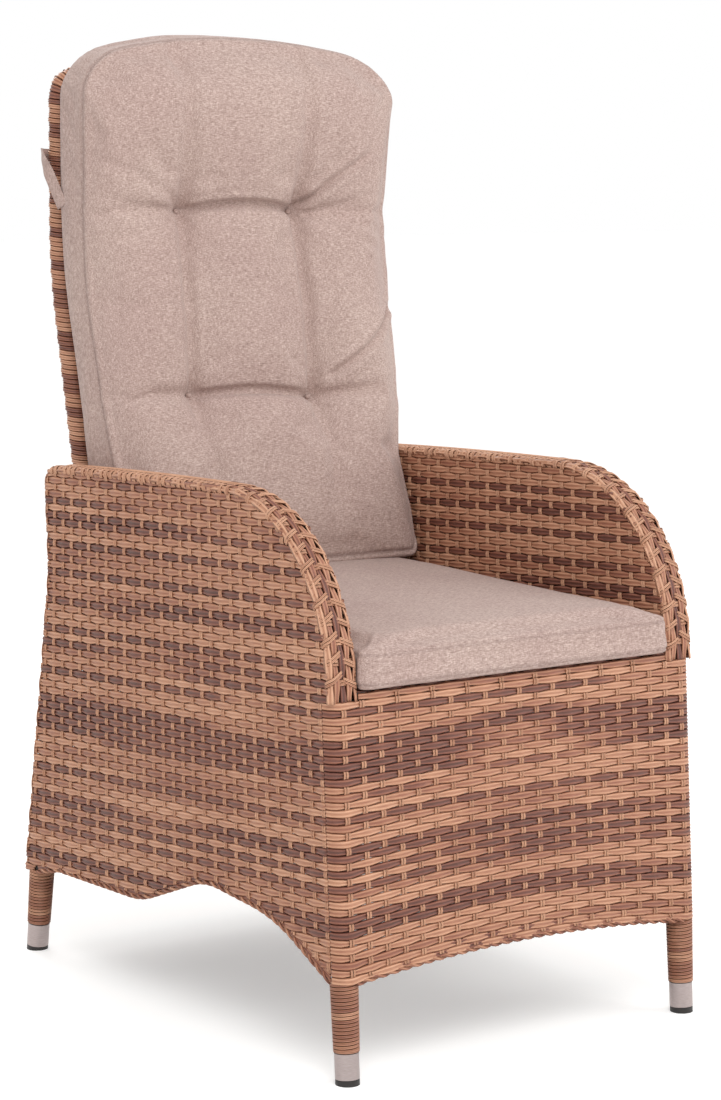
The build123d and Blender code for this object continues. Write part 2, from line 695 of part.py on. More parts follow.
def add_back_side_strip(near, far):
    """Side view of a layer of the woven back, between two distances behind its middle line."""
    low = back_foot_height - cut_overrun
    high = back_head_height + cut_overrun
    arc_mid = (back_arc_foot + back_arc_head) / 2
    for edge in (near, far):
        Line((back_y(low) + edge, low), (back_y(back_arc_foot) + edge, back_arc_foot))
        ThreePointArc((back_y(back_arc_foot) + edge, back_arc_foot), (back_y(arc_mid) + edge, arc_mid),
                      (back_y(back_arc_head) + edge, back_arc_head))
        Line((back_y(back_arc_head) + edge, back_arc_head), (back_y(high) + edge, high))
    Line((back_y(low) + near, low), (back_y(low) + far, low))
    Line((back_y(high) + near, high), (back_y(high) + far, high))


# Woven skins of the back, front and rear, inside the border
skin_inset = weave_thickness + seat_gap
for name, near, far in (("back_front_panel", -back_depth, -back_depth + weave_thickness),
                        ("back_rear_panel", back_depth - weave_thickness, back_depth)):
    with BuildPart() as back_skin:
        with BuildSketch(Plane.YZ.offset(-back_half_width)):
            with BuildLine():
                add_back_side_strip(near, far)
            make_face()
        extrude(amount=back_half_width * 2)
        with BuildSketch(Plane.XZ):
            with BuildLine():
                add_back_front_outline(back_half_width - skin_inset, skin_inset)
            make_face()
        extrude(amount=-foot_spacing, mode=Mode.INTERSECT)
    save(back_skin, name)

# Wrapped border round the back's sides and top
with BuildPart() as back_border:
    with BuildSketch(Plane.YZ.offset(-back_half_width)):
        with BuildLine():
            add_back_side_strip(-back_depth, back_depth)
        make_face()
    extrude(amount=back_half_width * 2)
    with BuildSketch(Plane.XZ):
        with BuildLine():
            add_back_front_outline(back_half_width, 0)
        make_face()
        with BuildLine():
            FilletPolyline(
                (-back_half_width + weave_thickness, back_foot_height - cut_overrun),
                (-back_half_width + weave_thickness, back_top_height - weave_thickness),
                (0, back_top_height - weave_thickness + back_arch_rise),
                (back_half_width - weave_thickness, back_top_height - weave_thickness),
                (back_half_width - weave_thickness, back_foot_height - cut_overrun),
                radius=(back_corner_radius, back_bend_radius, back_corner_radius))
            Line((back_half_width - weave_thickness, back_foot_height - cut_overrun),
                 (-back_half_width + weave_thickness, back_foot_height - cut_overrun))
        make_face(mode=Mode.SUBTRACT)
    extrude(amount=-foot_spacing, mode=Mode.INTERSECT)
save(back_border, "back_border")

# Back cushion: boxed sides, three soft columns, two rows of two tufts
cushion_rise = back_cushion_top - back_cushion_foot
section_shares = (0.0, 0.03, 0.18, 0.323, 0.495, 0.668, 0.825, 0.935, 1.03)
draw_in_shares = (1.0, 0.55, 0.3, 0.2, 0.0, 0.0, 0.0, 0.0, 0.0)
high_shares = (0.0, 0.0, 0.0, 0.0, 0.9, 1.0, 1.0, 1.0, 1.0)
edge_shares = (0.37, 0.44, 0.5, 0.48, 0.52, 0.5, 0.52, 0.46, 0.37)
column_shares = (0.54, 0.67, 0.81, 0.48, 0.87, 0.56, 0.85, 0.64, 0.4)
crown_shares = (0.58, 0.73, 0.92, 0.81, 1.0, 0.87, 0.94, 0.73, 0.44)
with BuildPart() as back_cushion:
    for place, draw, high, edge_share, column_share, crown_share in zip(
            section_shares, draw_in_shares, high_shares, edge_shares, column_shares, crown_shares):
        height = back_cushion_foot + cushion_rise * place
        edge = back_cushion_depth * edge_share
        column = back_cushion_depth * column_share
        crown = back_cushion_depth * crown_share
        half = (back_cushion_half_low - back_cushion_draw_in * draw
                + (back_cushion_half_high - back_cushion_half_low) * high)
        rest = back_y(height) - back_depth + back_cushion_bulge
        outer = half - back_cushion_bulge
        side_mid = (outer + tuft_half_spacing) / 2
        side_crown = (edge + crown) / 2 + back_cushion_bulge
        with BuildSketch(Plane.XY.offset(height)):
            with BuildLine():
                Line((outer, rest), (-outer, rest))
                for side in (-1, 1):
                    ThreePointArc((side * outer, rest), (side * half, rest - edge / 2),
                                  (side * outer, rest - edge))
                    ThreePointArc((side * outer, rest - edge), (side * side_mid, rest - side_crown),
                                  (side * tuft_half_spacing, rest - column))
                ThreePointArc((-tuft_half_spacing, rest - column), (0, rest - crown),
                              (tuft_half_spacing, rest - column))
            make_face()
    loft()
    with BuildSketch(Plane.YZ.offset(-leg_spacing)):
        with BuildLine():
            add_back_side_strip(-back_depth - back_cushion_gap, back_depth)
        make_face()
    extrude(amount=leg_spacing * 2, mode=Mode.SUBTRACT)
    with BuildSketch(Plane.XZ) as front_outline:
        cut_half = back_cushion_half_high + back_cushion_bulge
        shoulder = back_cushion_top - back_cushion_arch
        with BuildLine():
            ThreePointArc((-cut_half, shoulder), (0, back_cushion_top), (cut_half, shoulder))
            Polyline((cut_half, shoulder), (cut_half, back_cushion_foot - cut_overrun),
                     (-cut_half, back_cushion_foot - cut_overrun), (-cut_half, shoulder))
        make_face()
        fillet(front_outline.vertices().sort_by(Axis.Y)[-2:], back_cushion_corner)
    extrude(amount=-foot_spacing, mode=Mode.INTERSECT)
save(back_cushion, "back_cushion")

# Strap sewn to the cushion, round the woven back
strap_mid = back_y(strap_height)
strap_inner = back_half_width + seat_gap
strap_near = strap_mid - back_depth - seat_gap
strap_far = strap_mid + back_depth + strap_thickness
with BuildPart() as strap:
    with BuildSketch(Plane.XY.offset(strap_height - strap_width / 2)):
        with Locations((0, (strap_near + strap_far + strap_thickness) / 2)):
            Rectangle((strap_inner + strap_thickness) * 2, strap_far + strap_thickness - strap_near)
        with Locations((0, (strap_near + strap_far) / 2)):
            Rectangle(strap_inner * 2, strap_far - strap_near, mode=Mode.SUBTRACT)
    extrude(amount=strap_width)
save(strap, "cushion_strap")

# Hinge brackets on the seat's rear rail
rail_face = rear_rail_y + rail_radius + seat_gap
with BuildPart() as brackets:
    for side in (-1, 1):
        with BuildSketch(Plane.YZ.offset(side * hinge_offset)):
            with Locations((hinge_y, hinge_z)):
                Circle(hinge_eye_radius)
            with Locations(((rail_face + hinge_y) / 2, hinge_z)):
                Rectangle(hinge_y - rail_face, rail_radius * 2 - seat_gap * 2)
            with Locations((hinge_y, hinge_z)):
                Circle(hinge_bolt_radius, mode=Mode.SUBTRACT)
        extrude(amount=side * hinge_plate_thickness)
save(brackets, "hinge_brackets")

# Hinge plates under the back's side tubes, with a nylon bush each
back_plate_outer = hinge_offset - hinge_plate_gap
plate_top = back_foot_height - back_tube_radius * sin(back_low_lean) - seat_gap
with BuildPart() as hinge_plates:
    for side in (-1, 1):
        with BuildSketch(Plane.YZ.offset(side * back_plate_outer)):
            with Locations((hinge_y, hinge_z)):
                Circle(hinge_eye_radius)
            with Locations((hinge_y, (hinge_z + plate_top) / 2)):
                Rectangle(hinge_neck_width, plate_top - hinge_z)
            with Locations((hinge_y, hinge_z)):
                Circle(hinge_bolt_radius + hinge_bush_wall, mode=Mode.SUBTRACT)
        extrude(amount=-side * hinge_plate_thickness)
save(hinge_plates, "back_hinge_plates")

with BuildPart() as bushes:
    for side in (-1, 1):
        bush_x = back_plate_outer - hinge_plate_thickness if side > 0 else -back_plate_outer
        with BuildSketch(Plane.YZ.offset(bush_x)):
            with Locations((hinge_y, hinge_z)):
                Circle(hinge_bolt_radius + hinge_bush_wall - running_gap)
                Circle(hinge_bolt_radius + running_gap, mode=Mode.SUBTRACT)
        extrude(amount=hinge_plate_thickness)
save(bushes, "hinge_bushes")

# Hinge bolts: head outside the seat's bracket, nut inside the back's plate
with BuildPart() as hinge_bolts:
    for side in (-1, 1):
        inner_face = back_plate_outer - hinge_plate_thickness - hinge_plate_gap
        outer_face = hinge_offset + hinge_plate_thickness + seat_gap
        with BuildSketch(Plane.YZ.offset(side * outer_face)):
            with Locations((hinge_y, hinge_z)):
                RegularPolygon(bolt_head_radius, side_count=6)
        extrude(amount=side * bolt_head_thickness)
        with BuildSketch(Plane.YZ.offset(side * (inner_face - bolt_head_thickness))):
            with Locations((hinge_y, hinge_z)):
                RegularPolygon(bolt_head_radius, side_count=6)
        extrude(amount=side * bolt_head_thickness)
        with BuildSketch(Plane.YZ.offset(side * inner_face)):
            with Locations((hinge_y, hinge_z)):
                Circle(hinge_bolt_radius - running_gap)
        extrude(amount=side * (outer_face - inner_face))
save(hinge_bolts, "hinge_bolts")

# Gas spring under the seat, from a cross bar to a crank on the back
anchor_z = hinge_z - spring_anchor_drop
crank = radians(spring_crank_angle)
crank_y = hinge_y + spring_crank * sin(crank)
crank_z = hinge_z - spring_crank * cos(crank)
spring_span = sqrt((crank_y - spring_anchor_y) ** 2 + (crank_z - anchor_z) ** 2)
spring_direction = (0, (crank_y - spring_anchor_y) / spring_span, (crank_z - anchor_z) / spring_span)
anchor_plane = Plane(origin=(0, spring_anchor_y, anchor_z), x_dir=(1, 0, 0), z_dir=spring_direction)
spring_side_plane = Plane(origin=(0, spring_anchor_y, anchor_z), x_dir=spring_direction, z_dir=(1, 0, 0))

# Anchor lugs welded under the middle cross bar
anchor_bar_y = front_bar_y + cross_bar_spacing
with BuildPart() as anchor_lugs:
    for side in (-1, 1):
        lug_x = side * (head_width / 2 + seat_gap)
        with BuildSketch(Plane.YZ.offset(lug_x)):
            with Locations((spring_anchor_y, anchor_z)):
                Circle(spring_eye_radius)
            lug_top = rail_z - rail_radius - seat_gap
            with Locations(((spring_anchor_y + anchor_bar_y) / 2, (anchor_z + lug_top) / 2)):
                Rectangle(spring_eye_radius * 2, lug_top - anchor_z)
            with Locations((spring_anchor_y, anchor_z)):
                Circle(spring_pin_radius, mode=Mode.SUBTRACT)
        extrude(amount=side * lug_plate_thickness)
save(anchor_lugs, "spring_anchor_lugs")

pin_half = head_width / 2 + seat_gap + lug_plate_thickness
with BuildPart() as anchor_pin:
    with BuildSketch(Plane.YZ.offset(-pin_half)):
        with Locations((spring_anchor_y, anchor_z)):
            Circle(spring_pin_radius - running_gap)
    extrude(amount=pin_half * 2)
save(anchor_pin, "spring_anchor_pin")

# Release head on the rod's end, slotted for its trigger
trigger_along = head_length - head_lead - trigger_knuckle_radius * 2
with BuildPart() as head:
    with BuildSketch(spring_side_plane.offset(-head_width / 2)):
        with Locations(((head_length - head_lead * 2) / 2, 0)):
            Rectangle(head_length, head_height)
        Circle(spring_pin_radius + running_gap, mode=Mode.SUBTRACT)
    extrude(amount=head_width)
    with BuildSketch(spring_side_plane.offset(-trigger_width / 2 - seat_gap)):
        with Locations((trigger_along, head_height / 2)):
            Rectangle(trigger_knuckle_radius * 4, trigger_knuckle_radius * 4)
    extrude(amount=trigger_width + seat_gap * 2, mode=Mode.SUBTRACT)
    with BuildSketch(spring_side_plane.offset(-head_width / 2)):
        with Locations((trigger_along, head_height / 2 - trigger_knuckle_radius)):
            Circle(trigger_pin_radius)
    extrude(amount=head_width)
save(head, "release_head")

# Trigger on the head that opens the spring's valve
with BuildPart() as trigger:
    with BuildSketch(spring_side_plane.offset(-trigger_width / 2)):
        with Locations((trigger_along, head_height / 2 - trigger_knuckle_radius)):
            Circle(trigger_knuckle_radius)
        with Locations((trigger_along - trigger_length / 2,
                        (head_height + trigger_thickness) / 2 + seat_gap)):
            Rectangle(trigger_length, trigger_thickness)
        with Locations((trigger_along - trigger_knuckle_radius / 2, head_height / 2)):
            Rectangle(trigger_knuckle_radius, trigger_thickness * 2)
        with Locations((trigger_along, head_height / 2 - trigger_knuckle_radius)):
            Circle(trigger_pin_radius + running_gap, mode=Mode.SUBTRACT)
    extrude(amount=trigger_width)
save(trigger, "release_trigger")

# Piston rod
rod_start = head_length - head_lead
cylinder_start = spring_span - spring_eye_radius - eye_shank_length - cylinder_length
with BuildPart() as rod:
    with BuildSketch(anchor_plane.offset(rod_start)):
        Circle(rod_radius)
    extrude(amount=cylinder_start + rod_overlap - rod_start)
    with BuildSketch(anchor_plane.offset(cylinder_start + rod_overlap)):
        Circle(cylinder_radius - cylinder_wall - piston_gap)
    extrude(amount=piston_length)
save(rod, "gas_spring_rod")

# Cylinder with its gland at the rod's end
with BuildPart() as cylinder:
    with BuildSketch(anchor_plane.offset(cylinder_start)):
        Circle(cylinder_radius)
    extrude(amount=cylinder_length)
    with BuildSketch(anchor_plane.offset(cylinder_start + cylinder_gland)):
        Circle(cylinder_radius - cylinder_wall)
    extrude(amount=cylinder_length - cylinder_gland - cylinder_end, mode=Mode.SUBTRACT)
    with BuildSketch(anchor_plane.offset(cylinder_start)):
        Circle(rod_radius + running_gap)
    extrude(amount=cylinder_gland, mode=Mode.SUBTRACT)
save(cylinder, "gas_spring_cylinder")

# Eye on the cylinder's end, loose on the crank's pin
crank_plane = Plane(origin=(0, crank_y, crank_z), x_dir=spring_direction, z_dir=(1, 0, 0))
with BuildPart() as eye:
    with BuildSketch(crank_plane.offset(-spring_eye_width / 2)):
        Circle(spring_eye_radius - seat_gap)
        with Locations((-(spring_eye_radius + eye_shank_length) / 2, 0)):
            Rectangle(spring_eye_radius + eye_shank_length, spring_eye_width)
        Circle(spring_pin_radius + spring_pivot_gap, mode=Mode.SUBTRACT)
    extrude(amount=spring_eye_width)
save(eye, "gas_spring_eye")

# Crank lugs under the back's bottom rail, and their pin
crank_inner = spring_eye_width / 2 + hinge_plate_gap * 2
rail_under = back_low_z - back_tube_radius - seat_gap
with BuildPart() as crank_lugs:
    for side in (-1, 1):
        with BuildSketch(Plane.YZ.offset(side * crank_inner)):
            with BuildLine():
                Polyline((back_foot_y - spring_eye_radius, rail_under),
                         (back_foot_y + spring_eye_radius, rail_under),
                         (crank_y + spring_eye_radius, crank_z),
                         (crank_y - spring_eye_radius, crank_z), close=True)
            make_face()
            with Locations((crank_y, crank_z)):
                Circle(spring_eye_radius)
                Circle(spring_pin_radius, mode=Mode.SUBTRACT)
        extrude(amount=side * lug_plate_thickness)
save(crank_lugs, "spring_crank_lugs")

crank_half = crank_inner + lug_plate_thickness
with BuildPart() as crank_pin:
    with BuildSketch(Plane.YZ.offset(-crank_half)):
        with Locations((crank_y, crank_z)):
            Circle(spring_pin_radius - running_gap)
    extrude(amount=crank_half * 2)
save(crank_pin, "spring_crank_pin")

# Release lever: bracket under the right-hand rail, shaft through the side panel, arm outside
with BuildPart() as lever_bracket:
    with BuildSketch(Plane.YZ.offset(lever_bracket_inner)):
        with Locations((lever_y, lever_z)):
            Circle(lever_eye_radius)
        bracket_top = rail_z - rail_radius - seat_gap
        with Locations((lever_y, (lever_z + bracket_top) / 2)):
            Rectangle(lever_eye_radius * 2, bracket_top - lever_z)
        with Locations((lever_y, lever_z)):
            Circle(lever_shaft_radius + running_gap, mode=Mode.SUBTRACT)
    extrude(amount=lever_bracket_thickness)
save(lever_bracket, "lever_bracket")

plate_inner = outer_x + lever_plate_gap
lever_plane = Plane(origin=(plate_inner, lever_y, lever_z),
                    x_dir=(0, -cos(radians(lever_tilt)), -sin(radians(lever_tilt))), z_dir=(1, 0, 0))
with BuildPart() as lever:
    with BuildSketch(lever_plane):
        with Locations((lever_length / 2, 0)):
            SlotCenterToCenter(lever_length, lever_width)
    extrude(amount=lever_plate_thickness)
    with BuildSketch(Plane.YZ.offset(lever_shaft_inner)):
        with Locations((lever_y, lever_z)):
            Circle(lever_shaft_radius)
    extrude(amount=plate_inner - lever_shaft_inner)
save(lever, "release_lever")

with BuildPart() as grip:
    with BuildSketch(lever_plane.offset(-lever_plate_gap + seat_gap * 2)):
        with Locations((lever_length - grip_length / 2 + grip_width / 2, 0)):
            SlotOverall(grip_length, grip_width)
    extrude(amount=lever_plate_gap - seat_gap * 2 + lever_plate_thickness + grip_wall)
    fillet(grip.faces().sort_by(Axis.X)[-1].edges(), grip_edge_radius)
    with BuildSketch(lever_plane.offset(-grip_fit)):
        with Locations((lever_length / 2, 0)):
            SlotCenterToCenter(lever_length, lever_width + grip_fit * 2)
    extrude(amount=lever_plate_thickness + grip_fit * 2, mode=Mode.SUBTRACT)
save(grip, "lever_grip")
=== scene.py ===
import json
import math

import bmesh
import bpy
import numpy as np
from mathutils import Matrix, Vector
from mathutils.bvhtree import BVHTree


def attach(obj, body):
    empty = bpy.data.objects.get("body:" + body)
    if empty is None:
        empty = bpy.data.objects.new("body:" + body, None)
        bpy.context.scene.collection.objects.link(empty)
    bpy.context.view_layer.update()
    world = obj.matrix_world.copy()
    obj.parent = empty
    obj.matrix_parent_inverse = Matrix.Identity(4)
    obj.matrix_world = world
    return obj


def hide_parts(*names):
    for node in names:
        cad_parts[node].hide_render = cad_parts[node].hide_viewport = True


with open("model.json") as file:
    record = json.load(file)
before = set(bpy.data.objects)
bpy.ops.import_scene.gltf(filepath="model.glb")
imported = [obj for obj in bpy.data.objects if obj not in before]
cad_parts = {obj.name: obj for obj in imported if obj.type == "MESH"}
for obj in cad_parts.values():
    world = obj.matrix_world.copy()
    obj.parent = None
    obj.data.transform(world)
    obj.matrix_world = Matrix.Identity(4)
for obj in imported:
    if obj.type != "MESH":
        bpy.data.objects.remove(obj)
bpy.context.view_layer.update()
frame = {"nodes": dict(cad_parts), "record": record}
nodes = frame["nodes"]
MM = 0.001

# Places that the weave shares with the tubes, in metres
leg_x = 0.2325                   # a leg's centre line from the chair's middle
foot_y = 0.331                   # the feet's centres from the chair's middle
front_slope = 24.0 / 400.0       # a front leg leans back by this much for each unit of height
rear_splay = 0.144               # a rear leg leans forward by this much from its foot to its knee
knee_y, knee_z = 0.313, 0.125    # bend of a rear leg
hip_y, hip_z = 0.250, 0.478      # where a rear leg turns upright
outer_x = 0.2495                 # outer face of a side
arm_inner_x = 0.2115             # inner face of an arm
weave_outer = 0.017              # outer face of the weave from a leg's centre line
weave_mid = 0.0149               # middle of the weave's thickness
panel_mid = 2.1 * MM             # middle of a flat panel's weave below its face
panel_foot = 0.112               # lower edge of the front panel at a leg
rear_foot = 0.104                # lower edge of the rear panel
front_panel_top = 0.405
deck_top = 0.4133

# An arm's tube from the side: a bow up from the front leg, a slightly falling top, a rear corner
arm_bow_y, arm_bow_z, arm_bow_radius = -0.12289, 0.413, 0.183
arm_top = arm_bow_z + arm_bow_radius
arm_fall = 0.009
arm_rear_y, arm_rear_round = 0.247, 0.008
arm_rear_z = arm_top - arm_fall - arm_rear_round

# The woven back's middle from the side: two straight runs joined by an arc, as (y, z)
back_low, back_bend, back_high = (0.236, 0.425), (0.322, 0.830), (0.318, 1.090)
back_bend_radius = 0.5

# Sizes of the strands
row_pitch = 8.0 * MM
row_half = 4.55 * MM             # half a row's width where it stands out; neighbours overlap a little
side_row_half = 4.75 * MM
row_narrowing = 0.10             # a row is this much narrower at mid depth, and twice as much behind
row_thick = 0.95 * MM
weave_lift = 1.0 * MM            # how far a row stands over the middle of the weave
stake_half = 1.6 * MM
stake_apart = 1.65 * MM          # from the middle of a pair of stakes to each of them
stake_thick = 0.7 * MM
stake_lift = 0.95 * MM
side_stake_pitch = 21.0 * MM
side_stake_shift = 6.0 * MM      # puts a pair of stakes beside the front corner
front_stake_pitch = 23.1 * MM


def in_scene(name, data):
    """A new object that holds the data, linked to the scene."""
    holder = bpy.data.objects.new(name, data)
    bpy.context.scene.collection.objects.link(holder)
    return holder


# Materials
def srgb(hex_colour):
    """An sRGB hex value as a linear colour with alpha."""
    parts = [int(hex_colour[i:i + 2], 16) / 255 for i in (1, 3, 5)]
    linear = [c / 12.92 if c <= 0.04045 else ((c + 0.055) / 1.055) ** 2.4 for c in parts]
    return (*linear, 1.0)


def wire(material, source, output, target, target_input):
    """Joins an output of one node to an input of another."""
    material.node_tree.links.new(source.outputs[output], target.inputs[target_input])


def add_node(material, kind, links=None, values=None, **settings):
    """Adds a node: links as input -> (node, output), values as input -> value, settings by name."""
    node = material.node_tree.nodes.new("ShaderNode" + kind)
    for key, value in settings.items():
        if key in node.inputs:
            node.inputs[key].default_value = value
        else:
            setattr(node, key, value)
    for key, value in (values or {}).items():
        node.inputs[key].default_value = value
    for key, (source, output) in (links or {}).items():
        wire(material, source, output, node, key)
    return node


def new_material(name, colour, roughness, metallic=0.0):
    """A material with its plain shader values set, and its shader node."""
    material = bpy.data.materials.new(name)
    material.use_nodes = True
    shader = material.node_tree.nodes["Principled BSDF"]
    shader.inputs["Base Color"].default_value = srgb(colour)
    shader.inputs["Roughness"].default_value = roughness
    shader.inputs["Metallic"].default_value = metallic
    return material, shader


def set_ramp(node, stops):
    """Colours of a ramp from (place, hex colour) pairs."""
    ramp = node.color_ramp
    while len(ramp.elements) < len(stops):
        ramp.elements.new(1.0)
    for element, (place, colour) in zip(ramp.elements, stops):
        element.position = place
        element.color = srgb(colour)


# Polyethylene rattan: extruded flat strand with two lengthwise ridges, satin, mixed browns
wicker, wicker_shader = new_material("polyethylene_rattan_strand", "#A0735C", 0.5)
strand_tone = add_node(wicker, "Attribute", attribute_name="tone")
strand_uv = add_node(wicker, "UVMap", uv_map="strand")
# streaks of the mixed pigment, about 16 mm long and half a millimetre wide
streak_place = add_node(wicker, "Mapping", {"Vector": (strand_uv, "UV")}, Scale=(62.0, 11.0, 1.0))
streaks = add_node(wicker, "TexNoise", {"Vector": (streak_place, "Vector")}, Scale=1.0, Detail=3.0)
streak_gain = 0.62
streak_part = add_node(wicker, "Math", {0: (streaks, "Fac")},
                       {1: streak_gain, 2: -streak_gain / 2}, operation="MULTIPLY_ADD")
streaked_tone = add_node(wicker, "Math", {0: (strand_tone, "Fac"), 1: (streak_part, 0)}, operation="ADD")
# two ridges across a strand; the grooves and edges beside them are painted darker and the ridges lighter, a
# painted shade and painted light of the profile, and the same values raise the bump
strand_place = add_node(wicker, "SeparateXYZ", {"Vector": (strand_uv, "UV")})
ridge_angle = add_node(wicker, "Math", {0: (strand_place, "Y")}, {1: 2 * math.pi * 2},
                       operation="MULTIPLY")
ridge = add_node(wicker, "Math", {0: (ridge_angle, 0)}, operation="COSINE")
painted_groove_shade_and_height = add_node(wicker, "Math", {0: (ridge, 0)}, {1: -0.15}, operation="MULTIPLY")
# painted shade in the grooves and painted light on the ridges, added to the strand's tone
full_tone = add_node(wicker, "Math", {0: (streaked_tone, 0), 1: (painted_groove_shade_and_height, 0)}, operation="ADD")
tone_ramp = add_node(wicker, "ValToRGB", {"Fac": (full_tone, 0)})
set_ramp(tone_ramp, [(0.0, "#522F25"), (0.22, "#714235"), (0.5, "#98624B"), (0.78, "#B98669"),
                     (1.0, "#D2A182")])
wire(wicker, tone_ramp, "Color", wicker_shader, "Base Color")
ridge_bump = add_node(wicker, "Bump", {"Height": (painted_groove_shade_and_height, 0)}, Strength=0.8, Distance=2.2 * MM)
wire(wicker, ridge_bump, "Normal", wicker_shader, "Normal")

# Polyester linen-look weave: matt, melange of pinkish taupe and beige threads with slubs,
# drawn at 0.75 mm, a little coarser than the real 0.5 mm threads, so that they show
fabric, fabric_shader = new_material("melange_linen_look_polyester", "#B39C93", 0.94)
fabric_shader.inputs["Sheen Weight"].default_value = 0.12
fabric_shader.inputs["Sheen Roughness"].default_value = 0.5
fabric_place = add_node(fabric, "TexCoord")
thread_pitch = 0.75 * MM
thread_layers = []
for stretch in ((0.2, 1.0, 1.0), (1.0, 0.3, 0.2)):
    placed = add_node(fabric, "Mapping", {"Vector": (fabric_place, "Object")}, Scale=stretch)
    thread_layers.append(add_node(fabric, "TexNoise", {"Vector": (placed, "Vector")},
                                  Scale=1 / (thread_pitch * 1.25), Detail=2.0))
weft_share = 0.36                # the weft shows more than the warp
threads = add_node(fabric, "Mix", {2: (thread_layers[0], "Fac"), 3: (thread_layers[1], "Fac")},
                   {0: weft_share}, data_type="FLOAT")
thread_ramp = add_node(fabric, "ValToRGB", {"Fac": (threads, 0)})
set_ramp(thread_ramp, [(0.33, "#8F776F"), (0.45, "#AA938A"), (0.55, "#BAA39A"), (0.67, "#D2BEB5")])
# broad patches, about 110 mm wide, where the dye took a little less
patch = add_node(fabric, "TexNoise", {"Vector": (fabric_place, "Object")}, Scale=9.0, Detail=3.0)
patch_ramp = add_node(fabric, "ValToRGB", {"Fac": (patch, "Fac")})
set_ramp(patch_ramp, [(0.3, "#F5F1F2"), (0.7, "#FFFFFF")])
fabric_colour = add_node(fabric, "Mix", {6: (thread_ramp, "Color"), 7: (patch_ramp, "Color")},
                         {0: 1.0}, data_type="RGBA", blend_type="MULTIPLY")
# the thread and the turned-in edge make a seam look darker
seam_mark = add_node(fabric, "Attribute", attribute_name="seam")
seam_part = add_node(fabric, "Math", {0: (seam_mark, "Fac")}, {1: 0.30},
                     operation="MULTIPLY", use_clamp=True)
seam_colour = add_node(fabric, "Mix", {0: (seam_part, 0), 6: (fabric_colour, 2)}, {7: srgb("#4E3A35")},
                       data_type="RGBA")
wire(fabric, seam_colour, 2, fabric_shader, "Base Color")
fabric_bump = add_node(fabric, "Bump", {"Height": (threads, 0)}, Strength=0.5, Distance=0.35 * MM)
wire(fabric, fabric_bump, "Normal", fabric_shader, "Normal")


def grained(name, colour, roughness, metallic=0.0, grit=2.0, depth=0.05, stretch=(1, 1, 1), shade=0.08):
    """A hard material whose finish has a grain of a size and a depth in millimetres."""
    material, shader = new_material(name, colour, roughness, metallic)
    place = add_node(material, "TexCoord")
    placed = add_node(material, "Mapping", {"Vector": (place, "Object")}, Scale=stretch)
    grains = add_node(material, "TexNoise", {"Vector": (placed, "Vector")}, Scale=1 / (grit * MM),
                      Detail=3.0)
    swing = 0.24
    rough = add_node(material, "Math", {0: (grains, "Fac")}, {1: swing, 2: roughness - swing / 2},
                     operation="MULTIPLY_ADD")
    wire(material, rough, 0, shader, "Roughness")
    base = srgb(colour)
    colour_ramp = add_node(material, "ValToRGB", {"Fac": (grains, "Fac")})
    for element, place, gain in zip(colour_ramp.color_ramp.elements, (0.3, 0.7), (1 - shade, 1 + shade)):
        element.position = place
        element.color = (*[c * gain for c in base[:3]], 1.0)
    wire(material, colour_ramp, "Color", shader, "Base Color")
    bump = add_node(material, "Bump", {"Height": (grains, "Fac")}, Strength=0.4, Distance=depth * MM)
    wire(material, bump, "Normal", shader, "Normal")
    return material


# Aluminium tube, powder coated: matt brown-black with the fine orange peel of the coat
powder = grained("powder_coated_aluminium", "#3A2F2A", 0.55, grit=1.2, depth=0.06)
# Brushed stainless steel: fine scratches round the sleeve
sleeve_steel = grained("brushed_stainless_steel", "#A79B99", 0.34, 1.0, grit=0.9, depth=0.02,
                       stretch=(0.15, 0.15, 3.0), shade=0.16)
# Moulded polyethylene glide, nearly black, dull
glide_plastic = grained("moulded_polyethylene", "#211C1B", 0.5, grit=0.8, depth=0.04)
# Zinc plated steel sheet: dull silver with a faint mottle
zinc_plate = grained("zinc_plated_steel", "#9C9B97", 0.42, 1.0, grit=3.0, depth=0.02, shade=0.1)
# Black enamelled steel of the spring's cylinder
spring_enamel = grained("black_enamelled_steel", "#17181A", 0.3, grit=2.0, depth=0.02)
# Hard chrome on the rod
chrome = grained("hard_chrome_plate", "#C9CBCD", 0.14, 1.0, grit=4.0, depth=0.01, shade=0.04)
# Die cast zinc: slightly grainy grey
cast_zinc = grained("die_cast_zinc", "#8B8C8E", 0.5, 1.0, grit=1.0, depth=0.08, shade=0.12)
# Nylon bush: off-white, waxy
nylon = grained("moulded_nylon", "#D8D3C6", 0.45, grit=1.0, depth=0.03)
# Moulded polypropylene grip with a fine spark-eroded texture
grip_plastic = grained("textured_polypropylene", "#2A2523", 0.6, grit=0.7, depth=0.1)

slot_material = {
    "frame_tube": powder, "sleeve_steel": sleeve_steel, "glide_plastic": glide_plastic,
    "bracket_steel": zinc_plate, "spring_black": spring_enamel, "rod_chrome": chrome,
    "cast_zinc": cast_zinc, "bolt_steel": zinc_plate, "bush_nylon": nylon, "grip_plastic": grip_plastic,
    "weave": wicker, "weave_border": wicker, "leg_wrap": wicker, "cushion_fabric": fabric}
for subpart in frame["record"]["subparts"]:
    if subpart["node"] in nodes:
        node_mesh = nodes[subpart["node"]].data
        node_mesh.materials.clear()
        node_mesh.materials.append(slot_material[subpart["material_slot"]])


# Lines
def limited(values):
    """Values kept from 0 to 1."""
    return np.clip(values, 0, 1)


def unit(vectors):
    """The same vectors, each of length 1."""
    return vectors / (np.linalg.norm(vectors, axis=-1, keepdims=True) + 1e-12)


def distances(line):
    """How far along a line each of its points lies."""
    return np.concatenate([[0], np.cumsum(np.linalg.norm(np.diff(line, axis=0), axis=1))])


def at_places(places, along, line):
    """Each column of a line's points, read at places along it."""
    return [np.interp(places, along, column) for column in line.T]


